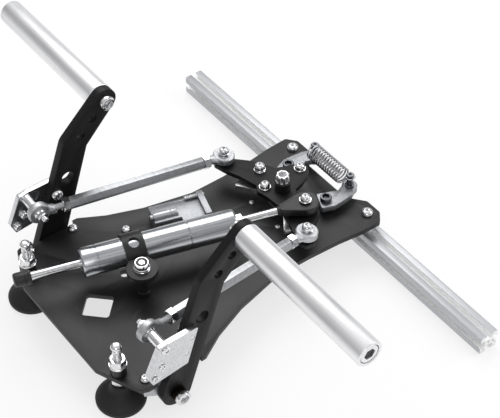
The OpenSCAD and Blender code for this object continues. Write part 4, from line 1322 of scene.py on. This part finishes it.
    @staticmethod
    def flipped(piece: Piece) -> Piece:
        """Returns the piece with its faces recalculated to point outwards."""
        only(piece)
        bpy.ops.object.mode_set(mode="EDIT")
        bpy.ops.mesh.select_all(action="SELECT")
        bpy.ops.mesh.normals_make_consistent(inside=False)
        bpy.ops.object.mode_set(mode="OBJECT")
        return piece

    def build_clamp(self) -> None:
        """Builds the clamp, the pillar and its nut."""
        machined("damper_clamp", "damper_clamp_cast", "damper_tube", Finish.COAT, 0.6, 3, 40)
        place = self.pillar()
        pillar = lathed([
            (0, -8), (3, -8), (3, 0), (5.3, 0), (5.75, 0.4), (5.75, 6.0), (5.2, 6.4), (5.2, 7.4), (5.75, 7.8),
            (5.75, 28.5), (5.3, 29), (3, 29), (3, 40.0), (0, 40.0)], 56)
        settle(placed(smooth(pillar), *place, 0), "damper_pillar_turned", "base", Finish.OXIDE,
            "damper_pillar", slot="black_coat")
        head = lathed([
            (3.1, 35.2), (6.9, 35.2), (7.2, 35.5), (7.2, 36.8), (6.6, 37.3), (6.6, 41.0), (6.1, 41.9),
            (5.4, 41.9), (5.2, 41.7), (5.2, 40.6), (3.1, 40.6), (3.1, 35.2)], 64)
        nut = [placed(washer(15, 6.2, 1.2), *place, 34), placed(smooth(head, 30), *place, 0)]
        settle(nut, "damper_pillar_nut", "base", Finish.PLATED, "pillar_nut")
        tip = lathed([(0, 40.0), (2.98, 40.0), (2.98, 41.5), (2.5, 42), (0, 42)], 40)
        settle(placed(smooth(tip), *place, 0), "pillar_stud_end", "base", Finish.PLATED)
        settle(placed(washer(10.3, 6.15, 0.9), *place, 40.62), "pillar_nut_insert", "base", Finish.NYLON)


@dataclass
class Sensor:
    """Angle sensor block beside the damper."""

    place: Pair = (-38.0, -150.0)
    turn: float = 16.9
    barrel_at: Triple = (-3, -23.55, 15.5)
    stud_at: Triple = (-15.5, 11, 17)
    black_fill_at: Triple = (7.0, -10.9, 8.2)
    black_fill: Triple = (4.9, 26.0, 8.0)

    def put(self, piece: Piece, spot: Triple, axis: Vector | None = None) -> Piece:
        """Puts a piece at a place of the block.

        Args:
            piece: The object.
            spot: Place across and along the block, and height over the deck.
            axis: Direction of the piece's z, in the block's own space.

        Returns:
            The same object.
        """
        turn = Matrix.Rotation(-math.radians(self.turn), 4, "Z")
        here = turn @ Vector((spot[0], spot[1], 0))
        return placed(piece, self.place[0] + here.x, self.place[1] + here.y, spot[2],
                      turn.to_3x3() @ (axis or Z_AXIS))

    def build(self) -> None:
        """Builds and dresses the pieces."""
        machined("sensor_base", "sensor_block", "base", Finish.BLASTED, 0.4, 2)
        # A black box that fills the slot in the sensor block.
        bpy.ops.object.select_all(action="DESELECT")
        bpy.ops.mesh.primitive_cube_add(size=1)
        black_fill = bpy.context.active_object
        black_fill.scale = Vector(self.black_fill) * MM
        black_fill = eased(moved(black_fill, Matrix.Identity(4)), 0.3, 2)
        settle(self.put(black_fill, self.black_fill_at), "sensor_slot_black_fill", "base", Finish.NYLON)
        body = lathed([
            (0, -3), (2.3, -3), (2.75, -2.4), (2.75, 0), (3.6, 0), (4, 0.5), (4, 16.0), (3.7, 16.3),
            (3.7, 17.1), (4, 17.4), (4, 22.8), (3.6, 23.5), (0, 23.5)], 56)
        settle(self.put(smooth(body), self.barrel_at, Y_AXIS), "sensor_barrel", "base", Finish.MILLED,
            "sensor_body")
        stud = smooth(lathed(threaded(4, 0, 19.5, 0.7), 32), 50)
        settle(self.put(stud, self.stud_at, Y_AXIS), "sensor_lock_stud", "base", Finish.PLATED, "sensor_stud")


@dataclass
class Studio:
    """Pale floor, soft lamps and the photograph's camera. Places are in metres."""

    camera: Triple = (0.7578, -0.51428, 1.0109)
    azimuth: float = 52.842
    elevation: float = 45.145
    lens: float = 104.86
    middle: Triple = (0.0, -0.06, 0.06)

    def build(self) -> None:
        """Builds the camera, the floor, the world and the lamps."""
        view = bpy.data.cameras.new("photo_camera")
        view.lens = self.lens
        view.sensor_width = 36.0
        view.sensor_fit = "HORIZONTAL"
        seat = bpy.data.objects.new("photo_camera", view)
        seat.location = self.camera
        seat.rotation_euler = (math.radians(90 - self.elevation), 0, math.radians(self.azimuth))
        bpy.context.collection.objects.link(seat)
        bpy.context.scene.camera = seat
        bpy.context.scene.view_settings.view_transform = "Standard"
        self.build_floor()
        self.build_world()
        self.lamp("key_panel", (-0.9, 0.5, 1.5), 1.3, 17.0)
        self.lamp("fill_panel", (1.2, -0.9, 1.1), 1.0, 4.0)
        self.lamp("rim_panel", (0.7, 1.3, 0.9), 0.8, 7.0)

    def lamp(self, name: str, place: Triple, size: float, watts: float) -> None:
        """Adds a square area lamp that points at the object.

        Args:
            name: The lamp's name.
            place: Its place.
            size: Side of the square.
            watts: Its power.
        """
        data = bpy.data.lights.new(name, "AREA")
        data.size = size
        data.energy = watts
        lamp = bpy.data.objects.new(name, data)
        lamp.location = place
        lamp.rotation_euler = (Vector(place) - Vector(self.middle)).to_track_quat("Z", "Y").to_euler()
        bpy.context.collection.objects.link(lamp)

    def build_floor(self) -> None:
        """Adds the white floor, which keeps a soft shadow."""
        bpy.ops.object.select_all(action="DESELECT")
        bpy.ops.mesh.primitive_plane_add(size=14)
        floor = bpy.context.active_object
        floor.name = "floor"
        material, tree = blank_material("matt_white_floor")
        matt = add_node(tree, "ShaderNodeBsdfDiffuse", {"Color": linear("f6f6f6")})
        glow = add_node(tree, "ShaderNodeEmission", {"Color": linear("ffffff"), "Strength": 1.0})
        path = add_node(tree, "ShaderNodeLightPath").outputs
        seen = add_node(tree, "ShaderNodeMath", links={0: path["Is Camera Ray"], 1: path["Is Glossy Ray"]},
                        operation="MAXIMUM")
        share = add_node(tree, "ShaderNodeMath", {1: 0.7}, {0: seen.outputs[0]}, operation="MULTIPLY")
        mix = add_node(tree, "ShaderNodeMixShader",
                       links={0: share.outputs[0], 1: matt.outputs[0], 2: glow.outputs[0]})
        add_node(tree, "ShaderNodeOutputMaterial", links={"Surface": mix.outputs[0]})
        floor.data.materials.append(material)

    def build_world(self) -> None:
        """Gives the room a light ceiling and darker walls, so that metal has something to show."""
        world = bpy.data.worlds.new("studio_room")
        bpy.context.scene.world = world
        world.use_nodes = True
        tree = world.node_tree
        tree.nodes.clear()
        coords = add_node(tree, "ShaderNodeTexCoord")
        parts = add_node(tree, "ShaderNodeSeparateXYZ", links={0: coords.outputs["Generated"]})
        ramp = add_node(tree, "ShaderNodeValToRGB", links={"Fac": parts.outputs["Z"]})
        for stop, place, colour in zip(ramp.color_ramp.elements, (0.05, 0.85), ("8e8f92", "f2f2f2")):
            stop.position, stop.color = place, linear(colour)
        back = add_node(tree, "ShaderNodeBackground", {"Strength": 0.75}, {"Color": ramp.outputs[0]})
        add_node(tree, "ShaderNodeOutputWorld", links={"Surface": back.outputs[0]})


def main() -> None:
    """Builds each sub-assembly around the loaded frame."""
    logging.basicConfig(level=logging.INFO, format="%(message)s")
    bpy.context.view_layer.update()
    Studio().build()
    for part in (Deck(), Rail(), Feet(), Hinges(), *map(Pedal, Side), *map(PushRod, Side), Rocker(),
            Centring(), Damper(), Sensor()):
        part.build()
        log.info("built %s", type(part).__name__)


if __name__ == "__main__":
    main()
